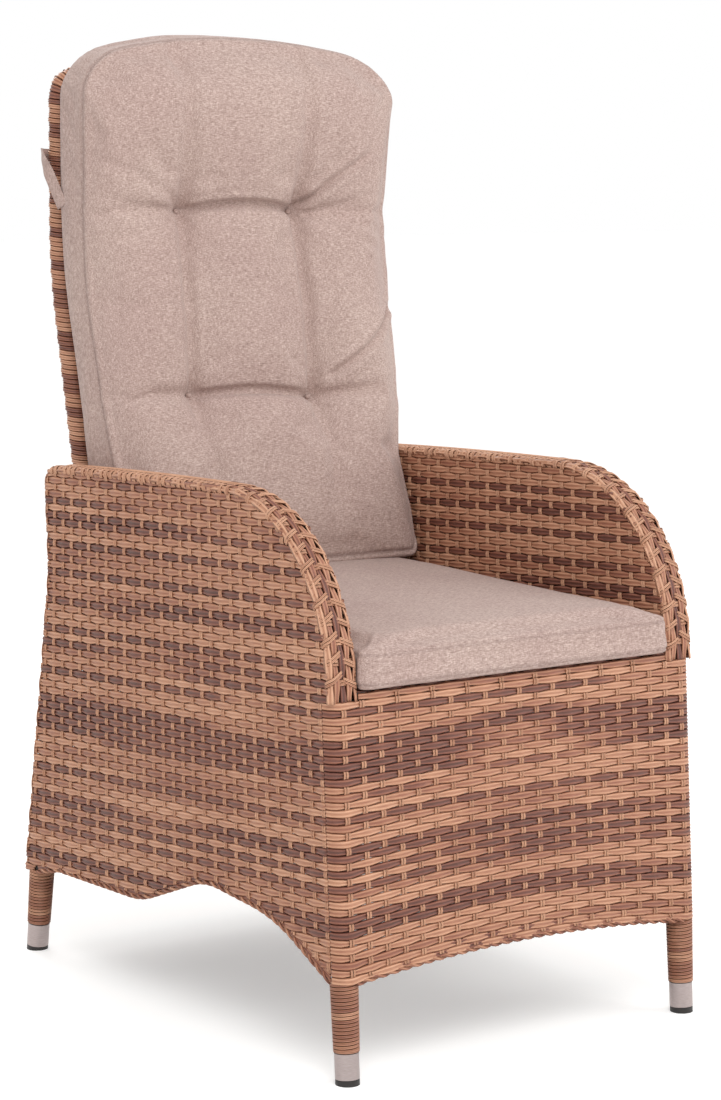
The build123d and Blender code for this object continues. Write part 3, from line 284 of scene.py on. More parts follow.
def evenly(points, step):
    """The same line with points at even steps."""
    gaps = np.linalg.norm(np.diff(points, axis=0), axis=1)
    points = points[np.concatenate([[True], gaps > 1e-7])]
    along = distances(points)
    places = np.linspace(0, along[-1], max(2, int(round(along[-1] / step)) + 1))
    return np.stack(at_places(places, along, points), 1)


def rounded(corners, radii, step=2 * MM):
    """A line through corners, each inner corner rounded by its radius, as evenly spaced points."""
    corners = [np.array(c, float) for c in corners]
    dense = [corners[0]]
    for before, corner, after, radius in zip(corners, corners[1:], corners[2:], radii):
        a = (before - corner) / np.linalg.norm(before - corner)
        b = (after - corner) / np.linalg.norm(after - corner)
        half = math.acos(float(np.clip(a @ b, -1, 1))) / 2
        start, end = corner + a * radius / math.tan(half), corner + b * radius / math.tan(half)
        centre = corner + (a + b) / np.linalg.norm(a + b) * radius / math.sin(half)
        sweep = math.pi - 2 * half
        for t in np.linspace(0, 1, max(2, int(radius * sweep / step)) + 1):
            dense.append(centre + (math.sin((1 - t) * sweep) * (start - centre)
                                   + math.sin(t * sweep) * (end - centre)) / math.sin(sweep))
    dense.append(corners[-1])
    return evenly(np.array(dense), step)


def front_leg_y(z):
    return -foot_y + z * front_slope


def rear_leg_y(z):
    z = np.asarray(z)
    return np.where(z < knee_z, foot_y - rear_splay * z,
                    knee_y - (knee_y - hip_y) * (z - knee_z) / (hip_z - knee_z))


low_lean = math.atan((back_bend[0] - back_low[0]) / (back_bend[1] - back_low[1]))
high_lean = math.atan((back_high[0] - back_bend[0]) / (back_high[1] - back_bend[1]))
bend_reach = back_bend_radius * math.tan((low_lean - high_lean) / 2)
arc_foot = back_bend[1] - bend_reach * math.cos(low_lean)
arc_head = back_bend[1] + bend_reach * math.cos(high_lean)
arc_y = back_bend[0] - bend_reach * math.sin(low_lean) - back_bend_radius * math.cos(low_lean)
arc_z = arc_foot + back_bend_radius * math.sin(low_lean)


def back_y(z):
    """Middle of the woven back at a height."""
    z = np.asarray(z, float)
    arc = arc_y + np.sqrt(np.clip(back_bend_radius ** 2 - (z - arc_z) ** 2, 0, None))
    return np.where(z < arc_foot, back_low[0] + (z - back_low[1]) * math.tan(low_lean),
                    np.where(z > arc_head, back_high[0] + (z - back_high[1]) * math.tan(high_lean), arc))


def border_line(out, foot_front, foot_rear):
    """Side view of an arm's edge, front foot over the top to the rear foot, at a distance from the tube."""
    lean = math.atan(front_slope)
    bow, corner = arm_bow_radius + out, arm_rear_round + out
    dense = [(front_leg_y(foot_front) - out / math.cos(lean), foot_front)]
    dense += [(arm_bow_y - bow * math.cos(a), arm_bow_z + bow * math.sin(a))
              for a in np.linspace(lean, math.pi / 2, 40)]
    dense += [(arm_bow_y + (arm_rear_y - arm_bow_y) * t, arm_top + out - arm_fall * t * (0.25 + 0.75 * t))
              for t in np.linspace(0.1, 1, 10)]
    dense += [(arm_rear_y + corner * math.cos(a), arm_rear_z + corner * math.sin(a))
              for a in np.linspace(math.pi / 2, 0, 10)[1:]]
    rear = rounded([(arm_rear_y + corner, arm_rear_z), (hip_y + out, hip_z), (knee_y + out, knee_z),
                    (float(rear_leg_y(foot_rear)) + out, foot_rear)], (0.2, 0.3))
    return evenly(np.concatenate([np.array(dense), rear[1:]]), 2 * MM)


# Strands: each section has two rounded ridges with a groove between them
profile = np.array([(-1.0, -0.55), (-0.56, 1.0), (0.0, 0.12), (0.56, 1.0), (1.0, -0.55)])
profile_v = np.array([0.0, 0.25, 0.5, 0.75, 1.0])


class Strands:
    """Gathers strands of one piece: closed flat ribbons with a tone and lengthwise coordinates."""

    def __init__(self):
        self.points, self.faces, self.tones, self.uvs, self.count = [], [], [], [], 0

    def add(self, line, normals, half, thick, tones, section=profile, section_v=profile_v):
        line, normals = np.asarray(line, float), np.asarray(normals, float)
        tangent = unit(np.gradient(line, axis=0))
        across = unit(np.cross(tangent, normals))
        up = np.cross(across, tangent)
        n, m = len(line), len(section)
        half = np.broadcast_to(half, n)[:, None, None]
        ring = (line[:, None, :] + across[:, None, :] * section[None, :, :1] * half
                + up[:, None, :] * section[None, :, 1:] * thick)
        start = self.count
        self.points.append(ring.reshape(-1, 3))
        self.uvs.append(np.stack([np.repeat(distances(line) + start * 0.013, m), np.tile(section_v, n)], 1))
        self.tones.append(np.repeat(np.broadcast_to(tones, n), m))
        i = np.arange(n - 1)[:, None] * m
        j = np.arange(m)[None, :]
        k = (j + 1) % m
        quads = np.stack([i + j, i + k, i + m + k, i + m + j], -1).reshape(-1, 4)
        self.faces.extend((start + quads).tolist())
        self.faces.append([start + q for q in reversed(range(m))])
        self.faces.append([start + (n - 1) * m + q for q in range(m)])
        self.count += n * m

    def build(self, name, material):
        mesh = bpy.data.meshes.new(name)
        mesh.from_pydata(np.concatenate(self.points).tolist(), [], self.faces)
        mesh.update()
        attribute = mesh.attributes.new("tone", "FLOAT", "POINT")
        attribute.data.foreach_set("value", np.concatenate(self.tones).astype(np.float32))
        uv_layer = mesh.uv_layers.new(name="strand")
        corners = np.zeros(len(mesh.loops), np.int32)
        mesh.loops.foreach_get("vertex_index", corners)
        uv_layer.data.foreach_set("uv", np.concatenate(self.uvs)[corners].astype(np.float32).ravel())
        mesh.polygons.foreach_set("use_smooth", np.ones(len(mesh.polygons), bool))
        mesh.materials.append(material)
        return in_scene(name, mesh)


lattice = np.random.RandomState(11).rand(97, 89)


def drift(x, y):
    """Smooth random values from 0 to 1 over two coordinates."""
    x, y = np.broadcast_arrays(np.asarray(x, float), np.asarray(y, float))
    i, j = np.floor(x).astype(int), np.floor(y).astype(int)
    fx, fy = x - i, y - j
    fx, fy = fx * fx * (3 - 2 * fx), fy * fy * (3 - 2 * fy)
    a, b = lattice[i % 97, j % 89], lattice[(i + 1) % 97, j % 89]
    c, d = lattice[i % 97, (j + 1) % 89], lattice[(i + 1) % 97, (j + 1) % 89]
    return (a * (1 - fx) + b * fx) * (1 - fy) + (c * (1 - fx) + d * fx) * fy


# Heights, at the front corners, of the rows that are mostly dark strand
dark_row_heights = np.array([0.584, 0.568, 0.560, 0.536, 0.504, 0.480, 0.472, 0.440, 0.424, 0.408, 0.392,
                             0.360, 0.352, 0.344, 0.336, 0.328, 0.320, 0.280, 0.248, 0.240, 0.224, 0.208,
                             0.176, 0.168, 0.160])


def row_tone(height, along, seed=0):
    """Tone of a row at a height and a distance along it: light or dark, with stretches of the other."""
    along = np.asarray(along)
    number = round(height / row_pitch)
    swing = drift(number * 1.7 + seed, along * 9 + 3)
    if np.min(np.abs(dark_row_heights - height)) < row_pitch * 0.52:
        light_stretch = limited((drift(number * 0.9 + 31, along * 5.0) - 0.66) * 5)
        return 0.10 + 0.20 * swing + 0.46 * light_stretch
    middling_stretch = limited((drift(number * 0.61 + 50, along * 4.0 + seed) - 0.6) * 4)
    dark_stretch = limited((drift(number * 1.37 + 70, along * 6.0 + seed) - 0.80) * 6)
    return 0.86 - 0.24 * swing - 0.28 * middling_stretch - 0.34 * dark_stretch - 0.08 * (number % 3 == 1)


def over_and_under(phase):
    """Depth of a strand along the weave, from 1 to -1: a cosine with flatter tops."""
    c = np.cos(phase)
    return np.sign(c) * np.abs(c) ** 0.7


def inside_of(name, reach=0.02):
    """A test whether a point of the weave lies in a CAD panel, seen along the weave's normal."""
    mesh = nodes[name].data
    tree = BVHTree.FromPolygons([v.co.copy() for v in mesh.vertices],
                                [list(p.vertices) for p in mesh.polygons])

    def test(point, normal):
        p, n = Vector(point), Vector(normal)
        return tree.ray_cast(p + n * reach, -n, reach * 2)[0] is not None
    return test


def runs_inside(surface, fixed, places, along_u, inside):
    """Stretches of a row or stake inside its panel, their ends found by halving."""
    shortest_end = 0.2 * MM

    def shows(t):
        u, v = ([t], [fixed]) if along_u else ([fixed], [t])
        p, n = surface(np.array(u), np.array(v))
        return inside(p[0], n[0])

    def edge(within, beyond):
        for _ in range(5):
            middle = (within + beyond) / 2
            if shows(middle):
                within = middle
            else:
                beyond = middle
        return within

    flags = [shows(t) for t in places]
    runs, start = [], None
    for i, flag in enumerate(flags + [False]):
        if flag and start is None:
            start = i
        if not flag and start is not None:
            stretch = list(places[start:i])
            if start > 0:
                end = edge(places[start], places[start - 1])
                if places[start] - end > shortest_end:
                    stretch.insert(0, end)
            if i < len(flags):
                end = edge(places[i - 1], places[i])
                if end - places[i - 1] > shortest_end:
                    stretch.append(end)
            if len(stretch) > 2:
                runs.append(np.array(stretch))
            start = None
    return runs


def weave(strands, surface, u_range, v_range, stake_pitch, tone_of, inside=lambda p, n: True,
          no_stakes=lambda p: np.zeros(len(p)), pitch=row_pitch, fine=4, u_shift=0.0, half=row_half):
    """Plain weave over a surface: rows along u, pairs of stakes along v, each over one and under one."""
    first, last = math.ceil((v_range[0] + pitch / 2) / pitch), math.floor((v_range[1] - pitch / 2) / pitch)
    steps = np.arange(math.ceil((u_range[0] - u_shift) / stake_pitch * fine),
                      math.floor((u_range[1] - u_shift) / stake_pitch * fine) + 1)
    places = steps * stake_pitch / fine + u_shift
    places = np.unique(np.concatenate([[u_range[0]], places, [u_range[1]]]))
    places = places[np.concatenate([[True], np.diff(places) > 0.3 * MM])]
    for row in range(first, last + 1):
        height = row * pitch
        for stretch in runs_inside(surface, height, places, True, inside):
            p, n = surface(stretch, np.full(len(stretch), height))
            lift = weave_lift * over_and_under(math.pi * (stretch - u_shift) / stake_pitch + math.pi * row)
            free = no_stakes(p)
            lift = lift * (1 - free) + 0.3 * MM * free
            narrowed = half * (1 - row_narrowing + row_narrowing * lift / weave_lift)
            strands.add(p + n * lift[:, None], n, narrowed, row_thick, tone_of(row, height, stretch))
    edge_room = 4 * MM
    stakes = np.arange(math.ceil((u_range[0] + edge_room - u_shift) / stake_pitch),
                       math.floor((u_range[1] - edge_room - u_shift) / stake_pitch) + 1)
    crossings = np.arange(first * 2 - 1, last * 2 + 2) * pitch / 2
    for stake in stakes:
        for side in (-1, 1):
            u = stake * stake_pitch + u_shift + side * stake_apart
            for stretch in runs_inside(surface, u, crossings, False, inside):
                p, n = surface(np.full(len(stretch), u), stretch)
                if np.any(no_stakes(p) > 0.5):
                    continue
                lift = -stake_lift * over_and_under(math.pi * stake + math.pi * stretch / pitch)
                shade = 0.66 + 0.34 * drift(stake * 1.3 + side * 0.4 + 20, stretch * 9 + 5.0)
                strands.add(p + n * lift[:, None], n, stake_half, stake_thick, shade)


def finish_piece(piece, body, slot_name, *replaced):
    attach(piece, body)
    if replaced:
        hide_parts(*replaced)


def woven(name, body, node_name, *where, **how):
    """A piece of plain weave that stands for a CAD panel."""
    strands = Strands()
    weave(strands, *where, **how)
    finish_piece(strands.build(name, wicker), body, "weave", node_name)


# Side panels and inner sides of the arms: flat weaves whose rows fall to the rear, and whose
# stakes lean with the legs. The rows run on round the front corners with their colours.
corner_length = weave_mid * math.pi / 2
corner_y = -foot_y + 0.018
for side, name in ((-1, "left"), (1, "right")):
    for face, x, label in ((side, side * (outer_x - panel_mid), "side_panel"),
                           (-side, side * (arm_inner_x + panel_mid), "arm_inner_panel")):
        def flat(u, v, x=x, face=face):
            lean = np.interp(u, [-0.33, 0.0, 0.33], [front_slope, 0.01, -0.06])
            fall = np.interp(v, [0.26, 0.58], [0.070, 0.036])      # the rows fall less near the top
            return (np.stack([np.full(len(u), x), u + (v - 0.30) * lean, v - fall * (u + foot_y)], 1),
                    np.tile(np.array([float(face), 0, 0]), (len(u), 1)))

        def near_leg(p, outer=label == "side_panel"):
            gap = p[:, 1] - front_leg_y(p[:, 2])
            low = p[:, 2] < front_panel_top
            return np.where(low & outer, limited((1 * MM - gap) / (4 * MM)), 0.0)

        def side_tone(row, height, s, side=side):
            return row_tone(height, side * (leg_x + corner_length + s - corner_y))

        woven(f"woven_{label}_{name}", "seat_frame", f"{label}_{name}", flat, (-0.35, 0.375), (0.10, 0.655),
              side_stake_pitch, side_tone, inside_of(f"{label}_{name}"), near_leg,
              u_shift=side_stake_shift, half=side_row_half)

# Front panel: rows bend round both legs and follow the arch of the lower edge
front_rise = 0.015
front_stakes_end = 0.238         # from the chair's middle; past it the rows turn the corner with no stakes


def front_surface(u, v):
    turn = np.clip(np.abs(u) - leg_x, 0, None) / weave_mid
    x = np.sign(u) * (np.minimum(np.abs(u), leg_x) + weave_mid * np.sin(turn))
    share = limited((front_panel_top - v) / (front_panel_top - panel_foot))
    z = v + front_rise * share * np.clip(1 - (x / leg_x) ** 2, 0, None)
    y = front_leg_y(z) - weave_mid * np.cos(turn)
    normal = np.stack([np.sign(u) * np.sin(turn), -np.cos(turn), np.full(len(u), front_slope)], 1)
    return np.stack([x, y, z], 1), unit(normal)


woven("woven_front_panel", "seat_frame", "front_panel", front_surface,
      (-leg_x - corner_length, leg_x + corner_length), (0.104, 0.409), front_stake_pitch,
      lambda row, height, s: row_tone(height, s), inside_of("front_panel"),
      lambda p: limited((np.abs(p[:, 0]) - front_stakes_end) / (4 * MM)))

# Rear panel between the rear legs; its sides go in under the arms' borders
rear_half, rear_tuck_start = 0.2170, 0.200
rear_panel_test = inside_of("rear_panel")


def rear_surface(u, v):
    tucked = 3.5 * MM * limited((np.abs(u) - rear_tuck_start) / (10 * MM))
    return (np.stack([u, rear_leg_y(v) + weave_mid - tucked, v], 1),
            np.tile(np.array([0.0, 0.985, 0.17]), (len(u), 1)))


def inside_rear(point, normal):
    x = max(-rear_tuck_start, min(rear_tuck_start, point[0]))
    return rear_panel_test((x, point[1], point[2]), normal)


woven("woven_rear_panel", "seat_frame", "rear_panel", rear_surface, (-rear_half, rear_half), (0.100, 0.390),
      front_stake_pitch, lambda row, height, s: row_tone(height + 0.02, s + 0.9), inside_rear)

# Borders of the arms: strands along the edge, crossed by folded ends of the stakes
border_flat = 12.5 * MM          # half the border's flat face
border_round = 4.5 * MM          # radius of its two long edges
border_reach = 20.2 * MM         # how far its weave goes from its middle line
border_pitch = 7.9 * MM
border_row_half = 4.5 * MM
border_tones = {-2: 0.82, -1: 0.68, 0: 0.26, 1: 0.62, 2: 0.80}
arm_mid_x = (outer_x + arm_inner_x) / 2
edge = border_line(weave_mid - 0.6 * MM, front_panel_top - 1.5 * MM, rear_foot)
edge_along = distances(edge)
edge_tangent = unit(np.gradient(edge, axis=0))
rear_top = edge_along[np.argmax(edge[:, 0] + edge[:, 1])]
bow_top = edge_along[np.argmin(np.abs(edge[:, 0] - arm_bow_y) + (edge[:, 1] < 0.5))]
# the folded ends lie closer together on the arm's top
fold_pitch = 21 * MM
fold_starts = np.concatenate([np.arange(0.012, bow_top, fold_pitch),
                              np.arange(bow_top, rear_top - 0.012, fold_pitch / 2),
                              np.arange(rear_top + 0.02, edge_along[-1] - 0.02, fold_pitch)])
fold_across = np.linspace(21.2 * MM, 0.6 * MM, 12)
fold_rise = (1.2 + 0.8 * np.sin(np.linspace(0, math.pi, 12))) * MM
fold_rise[-1] -= 1.2 * MM


def border_tone(row, height, s):
    return border_tones.get(row, 0.6) + 0.5 * (drift(row * 3.3 + 9, s * 5) - 0.5)


for side, name in ((-1, "left"), (1, "right")):
    def border_surface(u, v, side=side):
        y, z = at_places(u, edge_along, edge)
        ty, tz = at_places(u, edge_along, edge_tangent)
        turn = np.clip(np.abs(v) - border_flat, 0, None) / border_round
        x = np.sign(v) * (np.minimum(np.abs(v), border_flat) + border_round * np.sin(turn))
        sink = border_round * (1 - np.cos(turn))
        ny, nz = -tz, ty
        point = np.stack([side * arm_mid_x + side * x, y - ny * sink, z - nz * sink], 1)
        normal = np.stack([side * np.sign(v) * np.sin(turn), ny * np.cos(turn), nz * np.cos(turn)], 1)
        return point, normal

    strands = Strands()
    weave(strands, border_surface, (0.0, edge_along[-1]), (-border_reach, border_reach), side_stake_pitch,
          border_tone, pitch=border_pitch, half=border_row_half)
    for number, begin in enumerate(fold_starts):
        for half_side, skew, late in ((-1, 0.8, 0.0), (1, 1.0, 5 * MM)):
            slide = 13 * MM * (1 - fold_across / fold_across[0]) * skew
            for beside in (0.0, 3.4 * MM):
                p, n = border_surface(begin + slide + beside + late, half_side * fold_across)
                shade = 0.84 + 0.4 * (drift(number * 0.7 + half_side + 3, beside * 200) - 0.5)
                strands.add(p + n * fold_rise[:, None], n, 1.6 * MM, 0.6 * MM, shade)
    finish_piece(strands.build(f"woven_arm_border_{name}", wicker), "seat_frame", "weave_border",
                 f"arm_border_{name}")

# Seat deck, with its front edge rolled over the rail
deck_half, deck_rear = 0.2105, 0.208
roll = 3.2 * MM
deck_edge = -0.3205 + roll
rim_shift = 2.8 * MM             # sets the rim's last row on the front panel's first


def deck_surface(u, v):
    v = v - rim_shift
    turn = np.clip((deck_edge - v) / roll, 0, math.pi / 2)
    drop = np.clip(deck_edge - v - roll * math.pi / 2, 0, None)
    y = np.maximum(v, deck_edge) - roll * np.sin(turn)
    z = deck_top - panel_mid - roll * (1 - np.cos(turn)) - drop
    return (np.stack([u, y, z], 1), np.stack([np.zeros(len(u)), -np.sin(turn), np.cos(turn)], 1))


woven("woven_seat_deck", "seat_frame", "seat_deck", deck_surface, (-deck_half, deck_half),
      (-0.3245, deck_rear), front_stake_pitch,
      lambda row, height, s: 0.74 - 0.3 * drift(row * 1.3, s * 4) - 0.4 * (row % 7 == 3), fine=3)

# Woven back: front and rear skins
skin_from_middle = 12.2 * MM
for face, node_name in ((-1, "back_front_panel"), (1, "back_rear_panel")):
    def skin(u, v, face=face):
        along_stake = len(v) > 1 and np.ptp(v) > 1e-6
        slope = np.gradient(back_y(v)) / (np.gradient(v) + 1e-12) if along_stake else np.zeros(len(v))
        normal = np.stack([np.zeros(len(u)), np.full(len(u), float(face)), -face * slope], 1)
        return np.stack([u, back_y(v) + face * skin_from_middle, v], 1), unit(normal)

    woven(f"woven_{node_name}", "back", node_name, skin, (-0.192, 0.192), (0.425, 1.092), front_stake_pitch,
          lambda row, height, s: row_tone(0.12 + (height * 0.9) % 0.46, s + 2.0), inside_of(node_name, 0.05))

# Back's border: strands wrapped round the edge, close together
wrap_half = 0.1905
wrap_foot, wrap_shoulder, wrap_top = 0.428, 1.0535, 1.0775
wrap_line = rounded([(-wrap_half, wrap_foot), (-wrap_half, wrap_shoulder), (0.0, wrap_top),
                     (wrap_half, wrap_shoulder), (wrap_half, wrap_foot)], (0.0225, 0.5, 0.0225), 1 * MM)
wrap_along = distances(wrap_line)
wrap_tangent = unit(np.gradient(wrap_line, axis=0))
wrap_bend = np.linalg.norm(np.gradient(wrap_tangent, axis=0), axis=1) / MM
wrap_reach = 13.7 * MM           # from the back's middle to the strands round its edge
wrap_tail = 17 * MM              # how far a strand goes on over the skins
wrap_skew = 2.0 * MM
wrap_pitch = 5.6 * MM
wrap_strand_half = 2.85 * MM
wrap_bulge, wrap_bulge_pitch = 1.6 * MM, 20 * MM
turns = np.linspace(math.pi / 2, -math.pi / 2, 11)
wrap_section = ([(-wrap_tail, wrap_reach), (-wrap_tail / 2, wrap_reach)]
                + [(wrap_reach * math.cos(t), wrap_reach * math.sin(t)) for t in turns]
                + [(-wrap_tail / 2, -wrap_reach), (-wrap_tail, -wrap_reach)])
wrap_normal = [(0, 1)] * 2 + [(math.cos(t), math.sin(t)) for t in turns] + [(0, -1)] * 2
strands = Strands()
wrap_random = np.random.RandomState(5)
wrap_count = int(wrap_along[-1] / wrap_pitch)
wrap_shades = []                 # the colour changes after every few strands
while len(wrap_shades) < wrap_count:
    for group_shade in (0.74, 0.30):
        wrap_shades += [group_shade + 0.2 * (wrap_random.rand() - 0.5)
                        for _ in range(wrap_random.randint(2, 5) + (group_shade > 0.5))]
for number in range(wrap_count):
    s = (number + 0.5) * wrap_pitch
    bulge = wrap_bulge * (0.5 + 0.5 * math.cos(2 * math.pi * s / wrap_bulge_pitch))
    cx, cz = at_places(s, wrap_along, wrap_line)
    tx, tz = at_places(s, wrap_along, wrap_tangent)
    nx, nz = -tz, tx
    points, normals, halves = [], [], []
    for (a, b), (na, nb) in zip(wrap_section, wrap_normal):
        slide = wrap_skew * b / wrap_reach
        halves.append(wrap_strand_half * (1 + max(0.0, a) * wrap_bend[int(s / MM)]))
        a = a + bulge * max(0.0, na)
        z = cz + nz * a + tz * slide
        points.append((cx + nx * a + tx * slide, float(back_y(z)) + b, z))
        normals.append((nx * na, nb, nz * na))
    strands.add(points, normals, np.array(halves), row_thick, wrap_shades[number])
finish_piece(strands.build("wrapped_back_border", wicker), "back", "weave_border", "back_border")

# Windings on the legs: one strand wound tightly up each leg, level at both ends
winding_foot = 0.0365
winding_pitch = 3.9 * MM
winding_radius_low, winding_radius_high = 13.3 * MM, 14.5 * MM
level_turns = 0.9


def wound(strands, foot, head, seed):
    foot, head = np.array(foot, float), np.array(head, float)
    length = np.linalg.norm(head - foot)
    axis = (head - foot) / length
    side_dir = np.cross(axis, [0, 1.0, 0])
    side_dir /= np.linalg.norm(side_dir)
    other = np.cross(axis, side_dir)
    turns_count = length / winding_pitch + 2 * level_turns
    angles = np.linspace(0, 2 * math.pi * turns_count, int(turns_count * 20))
    share = limited((angles / (2 * math.pi) - level_turns) / (turns_count - 2 * level_turns))
    radius = winding_radius_low + (winding_radius_high - winding_radius_low) * share
    spoke = np.cos(angles)[:, None] * side_dir + np.sin(angles)[:, None] * other
    line = foot + axis * (length * share)[:, None] + spoke * radius[:, None]
    shade = (0.56 + 0.6 * (drift(share * turns_count * 0.8 + seed, 0.5) - 0.5)
             + 0.3 * (drift(share * turns_count * 3 + seed, 4.5) - 0.5))
    strands.add(line, spoke, winding_pitch / 2, 1.1 * MM, shade)


for row, foot_place, foot_lean, winding_top, seed in (("front", -foot_y, front_slope, 0.1105, 3),
                                                      ("rear", foot_y, -rear_splay, 0.1025, 8)):
    for side, name in ((-1, "left"), (1, "right")):
        strands = Strands()
        wound(strands, (side * leg_x, foot_place + winding_foot * foot_lean, winding_foot),
              (side * leg_x, foot_place + winding_top * foot_lean, winding_top), seed + side)
        finish_piece(strands.build(f"leg_winding_{row}_{name}", wicker), "seat_frame", "leg_wrap",
                     f"leg_wrap_{row}_{name}")

# Twisted cord along the skirt's lower edges: two strands laid round each other
cord_radius = 3.5 * MM
cord_lay = 30 * MM
cord_step = 2.2 * MM
cord_drop = 3.8 * MM             # the cord's middle below the panels' lower edge
cord_end = 15 * MM               # from a rear leg's middle to the cord's end at its winding
cord_profile = np.array([(math.cos(a), math.sin(a)) for a in np.linspace(math.pi, -math.pi, 7)[:-1]])
cord_v = np.linspace(0, 1, 6)


def twisted(strands, line, seed):
    line = evenly(np.asarray(line, float), cord_step)
    tangent = unit(np.gradient(line, axis=0))
    side_dir = unit(np.cross(tangent, [0.31, 0.2, 1.0]))
    other = np.cross(tangent, side_dir)
    along = np.arange(len(line)) * cord_step
    for start in (0, math.pi):
        angle = start + 2 * math.pi * along / cord_lay
        spoke = np.cos(angle)[:, None] * side_dir + np.sin(angle)[:, None] * other
        shade = (0.66 if start else 0.42) + 0.4 * (drift(along * 14 + seed, start + 0.5) - 0.5)
        strands.add(line + spoke * cord_radius * 0.48, spoke, cord_radius * 0.56, cord_radius * 0.5, shade,
                    cord_profile, cord_v)


def wave_line(lift):
    """The side skirt's lower edge, rear to front, raised by a lift."""
    base = panel_foot + lift
    corners = [(rear_leg_y(rear_foot) - cord_end, rear_foot + 0.004 + lift), (0.250, base + 0.008),
               (0.060, base + 0.012), (-0.075, base + 0.062), (-0.215, base + 0.050),
               (front_leg_y(panel_foot) + 0.005, base + 0.001)]
    return rounded([(float(a), float(b)) for a, b in corners], (0.03, 0.15, 0.13, 0.25))


# Courses along the edge, behind the rows, close it above the cord
edge_courses = (0.5 * MM, 7.0 * MM)
course_half, course_thick = 4.0 * MM, 0.9 * MM
strands = Strands()
for side in (-1, 1):
    for number, course in enumerate(edge_courses):
        wave = wave_line(course)
        line = np.stack([np.full(len(wave), side * (outer_x - 3.3 * MM)), wave[:, 0], wave[:, 1]], 1)
        shade = 0.42 + 0.5 * (drift(wave[:, 0] * 12 + 6, number + 2.5) - 0.5)
        facing = np.tile(np.array([float(side), 0, 0]), (len(wave), 1))
        strands.add(line, facing, course_half, course_thick, shade)
    wave = wave_line(-cord_drop)
    cord_x = np.full(len(wave), side * (outer_x - cord_radius))
    twisted(strands, np.stack([cord_x, wave[:, 0], wave[:, 1]], 1), side + 4)
cord_half = leg_x - 6 * MM
xs = np.linspace(-cord_half, cord_half, 60)
arch = panel_foot + front_rise * (1 - (xs / cord_half) ** 2)
front_face = front_leg_y(panel_foot)
rear_face = float(rear_leg_y(rear_foot))
rear_edge = np.full(60, rear_foot)
twisted(strands, np.stack([xs, np.full(60, front_face - weave_outer + cord_radius), arch - cord_drop], 1), 9)
for facing, foot_line, face_y in ((-1, arch, front_face - weave_mid + 1.2 * MM),
                                  (1, rear_edge, rear_face + weave_mid - 1.2 * MM)):
    for number, course in enumerate(edge_courses):
        shade = 0.42 + 0.5 * (drift(xs * 12 + 30, number + 5.5 + facing) - 0.5)
        line = np.stack([xs, np.full(60, face_y + front_slope * course), foot_line + course], 1)
        strands.add(line, np.tile(np.array([0, float(facing), 0]), (60, 1)), course_half, course_thick, shade)
rear_cord_y = rear_face + weave_outer - cord_radius
twisted(strands, np.stack([xs, np.full(60, rear_cord_y), rear_edge - cord_drop], 1), 12)
finish_piece(strands.build("twisted_edge_cords", wicker), "seat_frame", "weave_border", "bottom_edge_cords")


# Cushions
rim_width = 7 * MM               # rounding of a pad's rims before it is blown up


def only(piece):
    bpy.ops.object.select_all(action="DESELECT")
    bpy.context.view_layer.objects.active = piece
    piece.select_set(True)


def read_points(piece):
    points = np.zeros(len(piece.data.vertices) * 3)
    piece.data.vertices.foreach_get("co", points)
    return points.reshape(-1, 3)


def write_points(piece, points):
    piece.data.vertices.foreach_set("co", points.astype(np.float32).ravel())
    piece.data.update()


def bevel_edges(piece, chosen, width, segments):
    """Rounds the edges of a mesh that a test picks by their two ends."""
    only(piece)
    bpy.ops.object.mode_set(mode="EDIT")
    bpy.ops.mesh.select_mode(type="EDGE")
    bpy.ops.mesh.select_all(action="DESELECT")
    shape = bmesh.from_edit_mesh(piece.data)
    for e in shape.edges:
        e.select = chosen(e.verts[0].co, e.verts[1].co)
    bmesh.update_edit_mesh(piece.data)
    bpy.ops.mesh.bevel(offset=width, segments=segments, profile=0.5, affect="EDGES")
    bpy.ops.object.mode_set(mode="OBJECT")


def box_pad(name, size, high_corner, low_corner, upright):
    """A block with rounded corners and softened rims, its thin direction along upright (1 is Y, 2 is Z)."""
    bpy.ops.object.select_all(action="DESELECT")
    bpy.ops.mesh.primitive_cube_add(size=1)
    piece = bpy.context.object
    piece.name = name
    piece.data.name = name
    write_points(piece, read_points(piece) * np.array(size))
    other = 3 - upright
    half = size[upright] / 2

    def same(a, b):
        return abs(a - b) < 1e-6

    for end, width in ((1, high_corner), (-1, low_corner)):
        bevel_edges(piece, lambda a, b: same(abs(a[upright] - b[upright]), 2 * half) and a[other] * end > 0
                    and same(abs(a[other]), size[other] / 2), width, 8)
    bevel_edges(piece, lambda a, b: same(a[upright], b[upright]) and same(abs(a[upright]), half),
                rim_width, 3)
    return piece


def outline_depth(x, y, half_x, half_y, corner):
    """How far points lie inside the rounded outline of a pad."""
    dx, dy = np.abs(x) - (half_x - corner), np.abs(y) - (half_y - corner)
    return corner - np.hypot(np.maximum(dx, 0), np.maximum(dy, 0)) - np.minimum(np.maximum(dx, dy), 0)


def keep_label(piece, name, values):
    """Keeps a value on each point, which the later subdivision carries on."""
    label = piece.data.attributes.new(name, "FLOAT", "POINT")
    label.data.foreach_set("value", np.asarray(values, np.float32))


def read_label(piece, name):
    values = np.zeros(len(piece.data.vertices), np.float32)
    piece.data.attributes[name].data.foreach_get("value", values)
    return values


def sew(piece, depth):
    """Presses seams and creases into a finished pad: each point goes in along its normal."""
    normals = np.zeros(len(piece.data.vertices) * 3, np.float32)
    piece.data.vertex_normals.foreach_get("vector", normals)
    write_points(piece, read_points(piece) - normals.reshape(-1, 3) * np.asarray(depth)[:, None])


def bell(distance, width):
    return np.exp(-(distance / width) ** 2)


def seam(share, place, thickness, depth_inside, width=1.7 * MM):
    """Depth of a seam that runs round a pad's side at a share of its thickness."""
    near_side = limited((9 * MM - depth_inside) / (5 * MM))
    return near_side * bell((share - place) * thickness, width)


